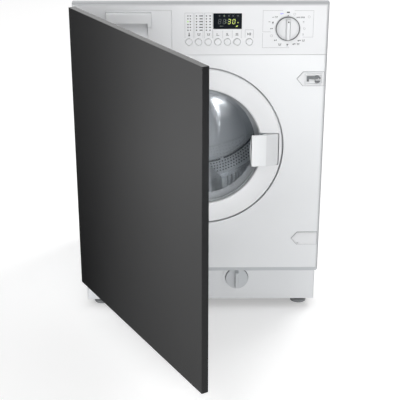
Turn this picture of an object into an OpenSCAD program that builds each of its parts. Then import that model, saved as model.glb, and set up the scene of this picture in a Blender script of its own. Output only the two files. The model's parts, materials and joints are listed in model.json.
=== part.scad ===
// Integrated washing machine with its furniture panel standing open.
// The front plane is y = 0 and the machine reaches back along +Y. Z is up from the floor, X is to the right.

/* [Cabinet] */
// Width of the machine
cab_w = 597; // [594:0.5:604]
// Height from the floor to the top
cab_h = 820; // [816:1:850]
// Depth from the front plane to the rear panel's outer face
cab_d = 545; // [530:1:580]
// Thickness of the side, rear and top sheets
sheet = 1.2; // [0.8:0.1:1.6]
// Height of the lower edge of the white front
front_z = 141; // [132:1:150]
// Height of the grey strip under the white front
strip_h = 10; // [6:1:14]
// How far the kick panel stands back from the front plane
kick_back = 55; // [40:1:70]
// Height of the cabinet's lower edge above the floor
base_z = 22; // [18:1:30]
// Height of the base tray's rim
tray_rim = 38; // [24:1:50]
// Rounding of the front's outer edges
edge_r = 8; // [5:0.5:11]
// Thickness of the white front sheet
front_t = 1.2; // [0.9:0.1:2]
// Depth of the front sheet's turned-in sides
front_lip = 20; // [14:1:26]
// Depth of the swages pressed into the sides and the top
swage_d = 4; // [2:0.5:6]
// Radius of the swages
swage_r = 9; // [7:0.5:14]

/* [Fascia] */
// Height of the fascia
fascia_h = 122.6; // [118:0.1:130]
// Wall of the fascia
fascia_t = 2.5; // [2:0.1:3.5]
// Depth of the fascia's top and side walls
fascia_lip = 24; // [18:1:32]
// Width of the display window
window_w = 66.7; // [50:0.1:80]
// Height of the display window
window_h = 37.1; // [28:0.1:44]
// Middle of the display window across
window_x = 62; // [50:0.5:74]
// Middle of the display window down from the top
window_z = 42.8; // [38:0.1:50]
// First button across
button_x = -27.8; // [-34:0.1:-22]
// Pitch of the button row
button_pitch = 22.55; // [20:0.05:24]
// Last button, which stands apart
start_x = 113.4; // [108:0.1:124]
// Button row down from the top
button_z = 91.3; // [86:0.1:98]
// Radius of a button
button_r = 7.6; // [6:0.1:8.4]
// How far a button stands out
button_out = 2.5; // [1.5:0.1:4]
// Travel of a button
button_travel = 1.2; // [0.6:0.1:1.5]
// Selector knob across
knob_x = 202.6; // [194:0.1:210]
// Selector knob down from the top
knob_z = 60.7; // [56:0.1:68]
// Radius of the selector knob
knob_r = 28.3; // [24:0.1:32]
// How far the knob stands out
knob_out = 18; // [14:0.5:20]
// Width of the knob's grip bar
grip_w = 12; // [8:0.5:15]
// Radius of the knob's stem
stem_r = 3; // [2.5:0.1:4]

/* [Detergent drawer] */
// Left edge of the drawer front
drawer_x0 = -222; // [-226:0.5:-216]
// Right edge of the drawer front
drawer_x1 = -67.5; // [-72:0.5:-60]
// Upper edge of the drawer front down from the top
drawer_top = 17; // [14:0.5:21]
// Floor of the tray down from the top
tray_z = 98; // [90:0.5:100]
// Height of the tray
tray_h = 60; // [50:1:62]
// Length of the tray
tray_l = 236; // [180:1:250]
// Wall of the tray and its housing
tray_t = 2; // [1.6:0.1:3]
// Width of the pull
pull_w = 104; // [80:1:120]
// Height of the pull
pull_h = 34; // [26:0.5:35]
// Left edge of the pull
pull_x = -219.5; // [-219.5:0.5:-205]
// Lower edge of the pull down from the top
pull_z = 57; // [55:0.5:60]
// How far the pull stands out
pull_out = 10; // [7:0.5:13]
// Radius of the finger scoop under the pull
scoop_r = 24; // [20:0.5:26]

/* [Porthole door] */
// Height of the door's middle
door_z = 466; // [460:1:472]
// Radius of the round recess in the front
dish_r = 201.5; // [196:0.5:206]
// Depth of the round recess
dish_d = 22; // [20:0.5:26]
// Gap between the door ring and the recess
ring_gap = 3; // [2:0.1:4]
// Radius of the glass opening in the door ring
glass_open_r = 147; // [138:0.5:152]
// How far the door ring stands proud of the front
ring_out = 2; // [1:0.5:4]
// Wall of the door ring
ring_t = 2.5; // [2:0.1:3.5]
// Depth of the glass bowl behind the front plane
bowl_d = 88; // [70:1:96]
// Radius of the glass bowl at its mouth
bowl_r0 = 139; // [130:0.5:141]
// Radius of the glass bowl at its bottom
bowl_r1 = 118; // [100:0.5:121]
// Thickness of the glass
glass_t = 4.5; // [3.5:0.1:6]
// Door hinge axis across
door_pin_x = -206; // [-209:0.5:-205]
// Door hinge axis in front of the front plane
door_pin_y = -5; // [-7:0.5:-5]
// Radius of the door hinge pin
door_pin_r = 3; // [2:0.1:3.5]
// Height of the door hinge's knuckle
door_knuckle_h = 40; // [30:1:60]

/* [Door handle] */
// Left edge of the handle
handle_x0 = 118.6; // [114:0.2:124]
// Right edge of the handle
handle_x1 = 188.3; // [186:0.1:188.8]
// Height of the handle
handle_h = 80; // [66:1:86]
// Middle of the handle up
handle_z = 462; // [458:1:470]
// How far the handle stands out
handle_out = 17.5; // [14:0.5:19]
// Handle axis across
handle_pin_x = 178; // [176:0.5:179]
// Handle axis behind the front plane
handle_pin_y = 3; // [2.5:0.1:3.5]
// Radius of the handle's trunnions
handle_pin_r = 2.5; // [2:0.1:3]

/* [Tub and drum] */
// Outer radius of the tub
tub_r = 250; // [246:0.5:252]
// Wall of the tub
tub_t = 3; // [2.5:0.1:4]
// Front face of the tub
tub_y0 = 66; // [66:1:70]
// Joint between the tub's halves
tub_split = 170; // [150:1:200]
// Rear wall of the tub in front of the rear panel's outer face
tub_y1 = 120; // [113:1:130]
// Radius of the tub's mouth
tub_mouth_r = 149; // [146:0.5:152]
// Outer radius of the drum
drum_r = 232; // [226:0.5:234]
// Front of the drum
drum_y0 = 80; // [79:0.5:84]
// Rear of the drum in front of the tub's rear wall
drum_y1 = 29; // [27:1:45]
// Thickness of the drum sheet
drum_t = 1; // [0.7:0.1:1.5]
// Radius of the drum's mouth
drum_mouth_r = 155; // [150:0.5:160]
// Rows of holes along the drum
hole_rows = 7; // [4:1:9]
// Holes in a row between two lifters
hole_cols = 8; // [5:1:10]
// Radius of a drum hole
hole_r = 2.5; // [1.5:0.1:3.2]
// Height of a lifter
lifter_h = 52; // [40:1:58]
// Width of a lifter at its foot
lifter_w = 64; // [50:1:74]

/* [Drive] */
// Radius of the drum shaft
shaft_r = 15; // [12:0.5:17]
// Outer radius of the bearings
bearing_r = 31; // [26:0.5:32]
// Width of a bearing
bearing_w = 16; // [12:0.5:18]
// Radius of the drum pulley
pulley_r = 145; // [130:1:155]
// Radius of the motor pulley
motor_pulley_r = 14; // [10:0.5:18]
// Width of the belt
belt_w = 14; // [10:0.5:16]
// Thickness of the belt
belt_t = 3; // [2:0.1:4]
// Middle plane of the belt in front of the rear panel's outer face
belt_y = 67; // [61:1:71]
// Motor axis across
motor_x = -120; // [-130:1:-100]
// Motor axis up
motor_z = 128; // [122:1:134]
// Radius of the motor
motor_r = 58; // [48:1:60]
// Length of the motor
motor_l = 150; // [120:1:170]

/* [Suspension] */
// Spring axis in from the machine's side
spring_x = 26.5; // [23.5:0.5:28.5]
// Radius of a spring over its wire
spring_r = 11; // [9:0.5:12]
// Radius of the spring wire
wire_r = 1.9; // [1.5:0.1:2.2]
// Curls of one spring
spring_turns = 14; // [8:1:16]
// Upper end of a spring down from the top
spring_top = 58; // [52:1:70]
// Lower end of a spring above the door's middle
spring_bottom = 146; // [140:1:158]
// Radius of a damper sleeve
damper_r = 15; // [12:0.5:17]

/* [Water] */
// Radius of the inlet's thread, G 3/4
inlet_r = 13.2; // [13:0.1:13.4]
// Inlet across
inlet_x = -145; // [-160:1:-130]
// Inlet down from the top
inlet_z = 52; // [46:1:56]
// Pump and filter across
pump_x = 95; // [90:1:110]
// Pump and filter up
pump_z = 84; // [80:1:90]
// Radius of the filter housing
filter_r = 30; // [26:0.5:32]
// Radius of the hoses
hose_r = 11; // [9:0.5:13]
// Cord gland across
gland_x = 230; // [210:1:250]

/* [Furniture panel] */
// Width of the panel
panel_w = 596; // [590:0.5:598]
// Height of the panel
panel_h = 700; // [660:1:702]
// Thickness of the panel
panel_t = 16; // [15:0.5:19]
// Lower edge of the panel
panel_z = 117; // [110:1:130]
// Gap between the closed panel and the front plane
panel_gap = 24; // [23:0.5:28]
// How far the panel stands open, in degrees
panel_open = 60; // [52:1:66]
// Hinge axis in from the panel's edge
hinge_in = 7; // [6:0.5:9]
// Hinge axis in from the panel's inner face
hinge_deep = 7; // [6.5:0.1:7.5]
// Upper hinge and catch below the fascia
catch_z1 = 58.7; // [48:0.1:68]
// Lower hinge and blank cover above the front's lower edge
catch_z0 = 81.6; // [72:0.1:92]
// Width of a catch cover
catch_w = 63.4; // [58:0.1:68]
// Height of a catch cover
catch_h = 33; // [30:0.5:38]
// Length of a catch cover's tip
catch_tip = 14.5; // [10:0.1:18]
// Middle of the catch covers in from the panel's edges
catch_x = 37.8; // [36:0.1:42]
// Radius of a hinge cup
cup_r = 17.5; // [15:0.1:17.5]

/* [Feet] */
// Radius of a foot
foot_r = 21; // [16:0.5:24]
// Thickness of a foot's sole
foot_t = 9; // [6:0.5:12]
// Radius of a foot's stud
foot_stud_r = 5; // [4:0.5:6]
// Feet in from the machine's sides
foot_x = 36.5; // [32.5:0.5:48.5]
// Front feet behind the front plane
foot_y0 = 92; // [86:1:110]
// Rear feet in from the rear panel
foot_in = 40; // [34:1:60]

/* [Clearances] */
// Gap between pieces that rest against each other
seat = 0.3; // [0.2:0.05:0.4]
// Radial clearance of a running fit
run = 0.05; // [0.02:0.01:0.09]
// Gap round a piece that slides
slide = 0.4; // [0.3:0.05:0.6]

/* [Hidden] */
$fn = 96;
eps = 0.01;
half_w = cab_w / 2;
fascia_z = cab_h - fascia_h;
window_mid = cab_h - window_z;
button_mid = cab_h - button_z;
knob_mid = cab_h - knob_z;
drawer_high = cab_h - drawer_top;
tray_floor = cab_h - tray_z;
pull_low = cab_h - pull_z;
inlet_mid = cab_h - inlet_z;
spring_high = cab_h - spring_top;
spring_low = door_z + spring_bottom;
spring_at = half_w - spring_x;
foot_at = half_w - foot_x;
belt_mid = cab_d - belt_y;
tub_back = cab_d - tub_y1;
drum_rear = tub_back - drum_y1;
seam = 0.6;
lifters = 3;
holes_turn = 360 / lifters;
ring_r = dish_r - ring_gap;
panel_y = -panel_gap - panel_t;
reveal = 0.5;
panel_x = -half_w + reveal;
pivot_x = panel_x + hinge_in;
pivot_y = -panel_gap - hinge_deep;
catch_low = front_z + catch_z0;
catch_high = fascia_z - catch_z1;
catch_heights = [catch_low, catch_high];
hinge_cover_x = panel_x + catch_x;
catch_cover_x = min(half_w - reveal, panel_x + panel_w) - catch_x;
row_buttons = 6;
button_xs = [for (i = [0 : row_buttons - 1]) button_x + i * button_pitch];

white = "#e9ebee";
pale_grey = "#c9ccd0";
mid_grey = "#8b8f94";
dark_grey = "#3a3c3f";
steel = "#b9bdc2";
zinc = "#a3a8ae";
rubber_grey = "#70757a";
concrete = "#9a978f";

// Turns a shape drawn round Z so that it stands round an axis along +Y at (x, z).
module around_y(x = 0, z = 0, y = 0) {
    translate([x, y, z]) rotate([-90, 0, 0]) children();
}

// Draws a flat outline in X and Z and gives it a thickness from y0 back to y1.
module slab_y(y0, y1) {
    translate([0, y1, 0]) rotate([90, 0, 0]) linear_extrude(y1 - y0) children();
}

// A block between two corners.
module block(lo, hi) {
    translate(lo) cube([for (i = [0 : 2]) hi[i] - lo[i]]);
}

// Points of a strip of even thickness along an open path.
function unit(v) = v / norm(v);
function side(v) = [-v[1], v[0]];
function corner_dir(p, i) =
    i == 0 ? side(unit(p[1] - p[0])) :
    i == len(p) - 1 ? side(unit(p[i] - p[i - 1])) :
    let (a = side(unit(p[i] - p[i - 1])), b = side(unit(p[i + 1] - p[i])))
    (a + b) / (1 + a * b);
function strip(p, t) = concat(
    [for (i = [0 : len(p) - 1]) p[i] + corner_dir(p, i) * t / 2],
    [for (i = [len(p) - 1 : -1 : 0]) p[i] - corner_dir(p, i) * t / 2]);

// Points of an arc.
function arc(c, r, a0, a1, n) = [for (i = [0 : n])
    let (a = a0 + (a1 - a0) * i / n) c + r * [cos(a), sin(a)]];

// A rectangle with rounded corners on its low-Y side.
module rounded_front(x0, x1, y0, y1, r) {
    translate([x0 + r, y0]) square([x1 - x0 - 2 * r, y1 - y0]);
    translate([x0, y0 + r]) square([x1 - x0, y1 - y0 - r]);
    for (x = [x0 + r, x1 - r]) translate([x, y0 + r]) circle(r);
}

// A rectangle with four rounded corners.
module rounded_rect(x0, x1, z0, z1, r) {
    translate([x0 + r, z0]) square([x1 - x0 - 2 * r, z1 - z0]);
    translate([x0, z0 + r]) square([x1 - x0, z1 - z0 - 2 * r]);
    for (x = [x0 + r, x1 - r], z = [z0 + r, z1 - r]) translate([x, z]) circle(r);
}

// Cabinet

module side_outline() {
    difference() {
        translate([front_lip + seat, base_z]) square([cab_d - front_lip - seat, cab_h - sheet - seat - base_z]);
        square([kick_back, front_z - strip_h]);
        translate([0, fascia_z - seam]) square([fascia_lip + seat, fascia_h + seam]);
    }
}

swage_low = front_z + 60;
swage_high = cab_h - 239;
swage_zs = [for (k = [0 : 2]) swage_low + k * (swage_high - swage_low) / 2];
swage_l = 330;

// A swage along Y: an outward groove in a sheet with its bulge on the inner side.
module swage(radius) {
    translate([swage_r - swage_d, (cab_d - swage_l) / 2, 0]) rotate([-90, 0, 0])
        cylinder(r = radius, h = swage_l);
}

module one_side() {
    difference() {
        union() {
            translate([half_w - sheet, 0, 0]) rotate([90, 0, 90]) linear_extrude(sheet) side_outline();
            intersection() {
                for (z = swage_zs) translate([half_w, 0, z]) swage(swage_r + sheet);
                block([0, 0, 0], [half_w - sheet / 2, cab_d, cab_h]);
            }
            spring_hanger();
        }
        for (z = swage_zs) translate([half_w, sheet, z]) swage_cut();
    }
}

module swage_cut() {
    translate([swage_r - swage_d, (cab_d - swage_l) / 2, 0]) rotate([-90, 0, 0])
        cylinder(r = swage_r, h = swage_l - 2 * sheet);
}

// Angle on the side that the spring hangs from.
hanger_y = (tub_split + tub_back) / 2;
hanger_w = 34;
hanger_t = 2;
module spring_hanger() {
    z0 = spring_high + seat;
    block([spring_at - spring_r, hanger_y - hanger_w / 2, z0],
        [half_w - sheet / 2, hanger_y + hanger_w / 2, z0 + hanger_t]);
    block([half_w - sheet - hanger_t, hanger_y - hanger_w / 2, z0 - 3 * hanger_t],
        [half_w - sheet / 2, hanger_y + hanger_w / 2, z0 + hanger_t]);
}

module side_panels() {
    color(white) for (s = [0, 1]) mirror([s, 0, 0]) one_side();
}

rear_y = cab_d - sheet;
rear_ring_r = pulley_r + 40;
slot_rows = 9;
slot_pitch = 13;
slot_w = 90;
bolt_x = 190;
bolt_z0 = 330;
bolt_z1 = 640;
bolt_r = 8;
module rear_panel() {
    color(zinc) difference() {
        union() {
            block([-base_x, rear_y, base_z], [base_x, cab_d, cab_h - sheet - seat]);
            translate([0, rear_y, door_z]) rotate([90, 0, 0])
                cylinder(r1 = rear_ring_r, r2 = rear_ring_r - 2 * swage_d, h = swage_d);
        }
        translate([0, cab_d + eps, door_z]) rotate([90, 0, 0])
            cylinder(r1 = rear_ring_r - sheet, r2 = rear_ring_r - 2 * swage_d - sheet, h = swage_d + eps);
        for (s = [-1, 1], k = [0 : slot_rows - 1])
            slab_y(rear_y - eps, cab_d + eps)
                translate([s * slot_w * 1.6, base_z + 60 + k * slot_pitch])
                    rounded_rect(-slot_w / 2, slot_w / 2, -2, 2, 1.9);
        for (x = [-bolt_x, bolt_x], z = [bolt_z0, bolt_z1])
            around_y(x, z, rear_y - 1) cylinder(r = bolt_r, h = sheet + 2);
        around_y(inlet_x, inlet_mid, rear_y - 1) cylinder(r = inlet_r + 3, h = sheet + 2);
        around_y(gland_x, inlet_mid, rear_y - 1) cylinder(r = gland_r + seat, h = sheet + 2);
        around_y(pump_x, pump_z, rear_y - 1) cylinder(r = pipe_r + seat, h = sheet + 2);
    }
}

module top_cover() {
    y0 = fascia_lip + seat;
    color(white) difference() {
        union() {
            block([-half_w, y0, cab_h - sheet], [half_w, cab_d, cab_h]);
            intersection() {
                for (x = [-1, 1] * cab_w / 4) translate([x, 0, cab_h]) top_swage(swage_r + sheet, 0);
                block([-half_w, 0, cab_h - 2 * swage_r], [half_w, cab_d, cab_h - sheet / 2]);
            }
        }
        for (x = [-1, 1] * cab_w / 4) translate([x, 0, cab_h]) top_swage(swage_r, sheet);
    }
}

module top_swage(radius, short) {
    translate([0, (cab_d - swage_l) / 2 + short, swage_r - swage_d]) rotate([-90, 0, 0])
        cylinder(r = radius, h = swage_l - 2 * short);
}

base_t = 1.5;
foot_y1 = cab_d - foot_in;
feet_xy = [for (x = [-foot_at, foot_at], y = [foot_y0, foot_y1]) [x, y]];
base_y0 = kick_back + sheet + seat;
base_y1 = rear_y - seat;
base_x = half_w - sheet - seat;
module base_tray() {
    color(zinc) difference() {
        union() {
            difference() {
                block([-base_x, base_y0, base_z], [base_x, base_y1, base_z + tray_rim]);
                block([-base_x + base_t, base_y0 + base_t, base_z + base_t],
                    [base_x - base_t, base_y1 - base_t, base_z + tray_rim + 1]);
            }
            for (p = feet_xy) translate([p[0], p[1], base_z])
                cylinder(r = 2.4 * foot_stud_r, h = 3 * foot_stud_r);
            for (s = [-1, 1]) damper_clevis(s * damper_foot_x, damper_foot_z, base_z);
            for (y = saddle_ys)
                block([pump_x - filter_r, y, base_z], [pump_x + filter_r, y + saddle_t, pump_z - filter_r / 2]);
        }
        around_y(pump_x, pump_z, base_y0 - 1)
            cylinder(r = filter_r, h = pump_y0 + chamber_l - base_y0 + 1 + seat);
        around_y(pump_x, pump_z, pump_y0) cylinder(r = pump_body_r + seat, h = pump_y1 - pump_y0 + 1);
        for (p = feet_xy) translate([p[0], p[1], base_z - 1])
            cylinder(r = foot_stud_r + run, h = 3 * foot_stud_r + 2);
    }
}

// Two cheeks with a pin hole along Y, standing on a floor or hanging from the tub.
clevis_w = 26;
clevis_gap = 17;
clevis_t = 3;
module damper_clevis(x, z, z_root) {
    for (s = [-1, 1]) translate([0, s * (clevis_gap + clevis_t) / 2 - clevis_t / 2 + damper_y, 0]) {
        difference() {
            union() {
                around_y(x, z) cylinder(r = clevis_w / 2, h = clevis_t);
                block([x - clevis_w / 2, 0, min(z, z_root)], [x + clevis_w / 2, clevis_t, max(z, z_root)]);
            }
            around_y(x, z, -1) cylinder(r = damper_pin_r + seat, h = clevis_t + 2);
        }
    }
}

module kick_panel() {
    z1 = front_z - strip_h;
    color(white) difference() {
        union() {
            block([-base_x, kick_back, base_z], [base_x, kick_back + sheet, z1]);
            block([-base_x, kick_back, z1 - sheet], [base_x, kick_back + 3 * sheet, z1]);
            around_y(pump_x, pump_z, kick_back - 1.5) cylinder(r = filter_r + 8, h = 1.5 + sheet);
        }
        around_y(pump_x, pump_z, kick_back - 5) cylinder(r = filter_r + seat, h = 12);
        for (k = [0 : 7]) slab_y(kick_back - 5, kick_back + 5)
            translate([-pump_x - 70 + k * 20, pump_z]) rounded_rect(-3, 3, -26, 26, 2.9);
    }
}

// The grey strip: a shallow channel whose floor reaches back over the kick panel.
strip_in = 1;
strip_t = 2.5;
strip_floor = 2;
module plinth_strip() {
    z0 = front_z - strip_h;
    color(pale_grey) difference() {
        union() {
            translate([0, 0, z0]) linear_extrude(strip_h - seat)
                rounded_front(-half_w, half_w, strip_in, front_lip, edge_r);
            block([-base_x, strip_in + edge_r, z0], [base_x, kick_back + front_lip, z0 + strip_floor]);
        }
        block([-half_w + strip_t, strip_in + strip_t, z0 + strip_floor], [half_w - strip_t, cab_d, front_z]);
    }
}

// The white front with its round recess.
mouth_r = 156;
mouth_d = 12;
pocket_w = 16;
pocket_h = door_knuckle_h + 24;
pocket_d = 12;
module front_skin(grow) {
    translate([0, 0, front_z + grow]) linear_extrude(fascia_z - seam - front_z - 2 * grow)
        rounded_front(-half_w + grow, half_w - grow, grow, front_lip + grow * 2, edge_r - grow);
}
module front_panel() {
    color(white) difference() {
        union() {
            difference() {
                front_skin(0);
                front_skin(front_t);
            }
            around_y(0, door_z) rotate_extrude()
                polygon(strip([[dish_r + front_t / 2, 0], [dish_r + front_t / 2, dish_d + front_t / 2],
                    [mouth_r, dish_d + front_t / 2], [mouth_r, dish_d + mouth_d]], front_t));
            block([door_pin_x - pocket_w / 2 - front_t, 0, door_z - pocket_h / 2 - front_t],
                [door_pin_x + pocket_w / 2, pocket_d + front_t, door_z + pocket_h / 2 + front_t]);
            for (z = catch_heights, s = [-1, 1]) slab_y(0, 3)
                translate([cover_x(s), z]) scale([s, 1]) catch_outline(-1.5);
        }
        around_y(0, door_z, -1) cylinder(r = dish_r, h = dish_d + 1);
        block([door_pin_x - pocket_w / 2, -1, door_z - pocket_h / 2],
            [-dish_r + 12, pocket_d, door_z + pocket_h / 2]);
        block([latch_x - 9, dish_d - 1, handle_z - 9], [latch_x + 14, dish_d + front_t + 1, handle_z + 9]);
        for (z = catch_heights, s = [-1, 1], dx = [-1, 1])
            around_y(cover_x(s) + dx * cover_screw, z, -1) cylinder(r = cover_screw_r, h = 6);
    }
}

// Middle of a cover: on the hinge side for -1, on the catch side for 1.
function cover_x(s) = s < 0 ? hinge_cover_x : catch_cover_x;
cover_screw = 17;
cover_screw_r = 1.6;

// Outline of the covers that the furniture panel's fittings use, with the tip towards the door.
module catch_outline(shrink) {
    w = catch_w / 2 + min(0, shrink);
    h = catch_h / 2 + min(0, shrink);
    polygon([[-w + catch_tip, h], [w, h], [w, -h], [-w + catch_tip, -h], [-w, 0]]);
}

// Fascia

post_r = 3;
board_y = 14;
board_t = 1.6;
board_x0 = button_x - 18;
board_x1 = knob_x + 26;
board_z0 = fascia_z + 16;
board_z1 = cab_h - 12;
guide_r = button_r + 2.6;
module fascia_body(grow) {
    intersection() {
        translate([0, 0, fascia_z + grow]) linear_extrude(cab_h - fascia_z - grow)
            rounded_front(-half_w + grow, half_w - grow, grow, fascia_lip + 2 * grow, edge_r - grow);
        translate([-cab_w, 0, 0]) rotate([90, 0, 90]) linear_extrude(2 * cab_w) {
            translate([grow, fascia_z]) square([fascia_lip + grow, cab_h - fascia_z - edge_r]);
            translate([edge_r, fascia_z]) square([fascia_lip - edge_r + 2 * grow, cab_h - fascia_z - grow]);
            translate([edge_r, cab_h - edge_r]) circle(edge_r - grow);
        }
    }
}
module fascia() {
    color(white) difference() {
        union() {
            difference() {
                fascia_body(0);
                fascia_body(fascia_t);
            }
            for (x = [board_x0 + 6, board_x1 - 6], z = [board_z0 + 6, board_z1 - 6])
                around_y(x, z, fascia_t / 2) cylinder(r = post_r, h = board_y - fascia_t / 2 - seat);
            for (x = concat(button_xs, [start_x]))
                around_y(x, button_mid, fascia_t / 2) cylinder(r = guide_r + 1.2, h = 7);
        }
        block([drawer_x0, -1, fascia_z - 1], [drawer_x1, fascia_lip * 2, drawer_high]);
        slab_y(-1, fascia_lip) rounded_rect(window_x - window_w / 2, window_x + window_w / 2,
            window_mid - window_h / 2, window_mid + window_h / 2, 1.5);
        for (x = concat(button_xs, [start_x])) {
            around_y(x, button_mid, -1) cylinder(r = button_r + slide, h = 20);
            around_y(x, button_mid, fascia_t) cylinder(r = guide_r, h = 20);
        }
        around_y(knob_x, knob_mid, -1) cylinder(r = 2 * stem_r, h = 10);
        around_y(knob_x, knob_mid, -1) difference() {
            cylinder(r = knob_r + 1.2, h = 2);
            translate([0, 0, -1]) cylinder(r = knob_r - 3, h = 4);
        }
    }
}

module display_window() {
    color("#10161c") slab_y(0.2, fascia_t + 0.6) rounded_rect(window_x - window_w / 2 + seat,
        window_x + window_w / 2 - seat, window_mid - window_h / 2 + seat, window_mid + window_h / 2 - seat, 1.2);
}

switch_y = button_travel + 8.6;
module control_board() {
    color("#2f6b46") {
        block([board_x0, board_y, board_z0], [board_x1, board_y + board_t, board_z1]);
        block([window_x - window_w / 2 - 2, fascia_t + 0.9, window_mid - window_h / 2 - 2],
            [window_x + window_w / 2 + 2, board_y + eps, window_mid + window_h / 2 + 2]);
        for (x = concat(button_xs, [start_x])) {
            block([x - 3, switch_y + 1, button_mid - 3], [x + 3, board_y + eps, button_mid + 3]);
            around_y(x, button_mid, switch_y) cylinder(r = 1.7, h = 2);
        }
    }
}

switch_w = 26;
module selector_switch() {
    color(mid_grey) difference() {
        union() {
            block([knob_x - switch_w / 2, 7, knob_mid - switch_w / 2],
                [knob_x + switch_w / 2, board_y - seat, knob_mid + switch_w / 2]);
            around_y(knob_x, knob_mid, 0.5) cylinder(r = 2 * stem_r - seat, h = 7);
        }
        around_y(knob_x, knob_mid, -1) cylinder(r = stem_r + run, h = 14);
    }
}

module selector_knob() {
    skirt = 6;
    color(white) around_y(knob_x, knob_mid) {
        difference() {
            union() {
                translate([0, 0, -skirt - 1]) cylinder(r = knob_r, h = skirt);
                translate([0, 0, -skirt - 4]) cylinder(r1 = knob_r - 5, r2 = knob_r - 1.5, h = 3 + eps);
            }
            translate([0, 0, -4]) difference() {
                cylinder(r = knob_r - 2, h = 4);
                translate([0, 0, -1]) cylinder(r = 3 * stem_r, h = 6);
            }
        }
        intersection() {
            translate([-grip_w / 2, -knob_r, -knob_out]) cube([grip_w, 2 * knob_r, knob_out - skirt]);
            translate([0, 0, -knob_out]) cylinder(r1 = knob_r - 3, r2 = knob_r, h = knob_out);
        }
        translate([0, 0, -2]) cylinder(r = stem_r, h = 14);
    }
}

module push_button(x) {
    color(white) around_y(x, button_mid) {
        translate([0, 0, -button_out + 0.8]) cylinder(r = button_r, h = button_out + 7);
        translate([0, 0, -button_out]) cylinder(r1 = button_r - 0.8, r2 = button_r, h = 0.8 + eps);
        translate([0, 0, fascia_t + seat]) cylinder(r = guide_r - slide, h = 1.5);
    }
}

// Detergent drawer

scoop_y = 12;
scoop_t = 2;
scoop_x0 = pull_x + 8;
scoop_x1 = pull_x + pull_w - 8;
tray_y0 = scoop_y + scoop_t + tray_t;
tray_x0 = drawer_x0 + 10;
tray_x1 = drawer_x1 - 10;
dividers = [tray_x0 + (tray_x1 - tray_x0) * 0.3, tray_x0 + (tray_x1 - tray_x0) * 0.62];
pull_z1 = pull_low + pull_h;
module pull_outline() {
    polygon([[0, pull_z1], [-pull_out + 1.5, pull_z1], [-pull_out, pull_z1 - 1.5], [-pull_out, pull_low + 4],
        [-pull_out + 2, pull_low + 1], [0, pull_low]]);
}
module drawer_front() {
    x0 = drawer_x0 + slide;
    x1 = drawer_x1 - slide;
    scoop_z = pull_low - scoop_r * 0.55;
    color(white) difference() {
        union() {
            block([x0, 0, fascia_z + slide], [x1, fascia_t, drawer_high - slide]);
            translate([pull_x, 0, 0]) rotate([90, 0, 90]) linear_extrude(pull_w) pull_outline();
            block([scoop_x0 - scoop_t, fascia_t / 2, scoop_z - scoop_r],
                [scoop_x1 + scoop_t, scoop_y + scoop_t, pull_low + 10]);
        }
        translate([scoop_x0, scoop_y - scoop_r, scoop_z]) rotate([0, 90, 0])
            cylinder(r = scoop_r, h = scoop_x1 - scoop_x0);
        translate([scoop_x0, 0, 0]) rotate([90, 0, 90]) linear_extrude(scoop_x1 - scoop_x0)
            polygon([[-pull_out + 3, pull_low - 1], [-pull_out + 3, pull_low + 5], [3, pull_low + 8],
                [6, pull_low - 1]]);
    }
}

module drawer_tray() {
    z1 = tray_floor + tray_h;
    y1 = tray_y0 + tray_l;
    color(pale_grey) difference() {
        union() {
            block([tray_x0, tray_y0, tray_floor], [tray_x1, y1, z1]);
            for (x = [tray_x0 - 3, tray_x1 - eps]) block([x, tray_y0, z1 - 6], [x + 3, y1, z1 - 3]);
            for (x = [scoop_x0 + 10, scoop_x1 - 20])
                block([x, scoop_y + scoop_t, tray_floor + 6], [x + 10, tray_y0 + 1, tray_floor + 16]);
        }
        for (c = [[tray_x0 + tray_t, dividers[0]], [dividers[0] + tray_t, dividers[1]],
            [dividers[1] + tray_t, tray_x1 - tray_t]])
            block([c[0], tray_y0 + tray_t, tray_floor + tray_t], [c[1], y1 - tray_t, z1 + 1]);
    }
}

housing_flange = 8;
housing_y1 = tray_y0 + tray_l + 8;
module drawer_housing() {
    y0 = fascia_t + seat;
    x0 = tray_x0 - 3 - slide;
    x1 = tray_x1 + 3 + slide;
    z0 = tray_floor - slide;
    z1 = tray_floor + tray_h + 4;
    color(pale_grey) difference() {
        union() {
            block([x0 - tray_t, y0, z0 - tray_t], [x1 + tray_t, housing_y1, z1 + tray_t]);
            block([x0 - tray_t - housing_flange, y0, z0 - tray_t - housing_flange],
                [x1 + tray_t + housing_flange, y0 + tray_t, drawer_high + housing_flange]);
        }
        block([x0, y0 - 1, z0], [x1, housing_y1 - tray_t, z1]);
    }
}

// Porthole door

rim_r = 5;
frame_y0 = 9;
frame_y1 = 17;
flange_r = glass_open_r + 7;
latch_x = 178;
latch_y = 14.5;
pocket_x0 = 147;
pocket_x1 = handle_x1 + 2;
pocket_z = handle_h / 2 + 1;
module ring_profile() {
    polygon(strip(concat(
        [[glass_open_r + ring_t / 2, 6]],
        arc([glass_open_r + ring_t / 2 + 3, -ring_out + ring_t / 2 + 3], 3, 180, 270, 5),
        arc([ring_r - ring_t / 2 - rim_r, -ring_out + ring_t / 2 + rim_r], rim_r, -90, 0, 6),
        [[ring_r - ring_t / 2, frame_y1 - 1]]), ring_t));
}
module handle_window() {
    rounded_rect(pocket_x0 - 20, pocket_x1, handle_z - pocket_z, handle_z + pocket_z, 4);
}
module door_ring() {
    color(white) difference() {
        around_y(0, door_z) rotate_extrude() ring_profile();
        slab_y(-ring_out - 2, frame_y0 - 1) handle_window();
        block([-ring_r - 5, -ring_out - 2, door_z - door_knuckle_h / 2 - 1],
            [-ring_r + 12, frame_y1 + 5, door_z + door_knuckle_h / 2 + 1]);
    }
}

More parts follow.
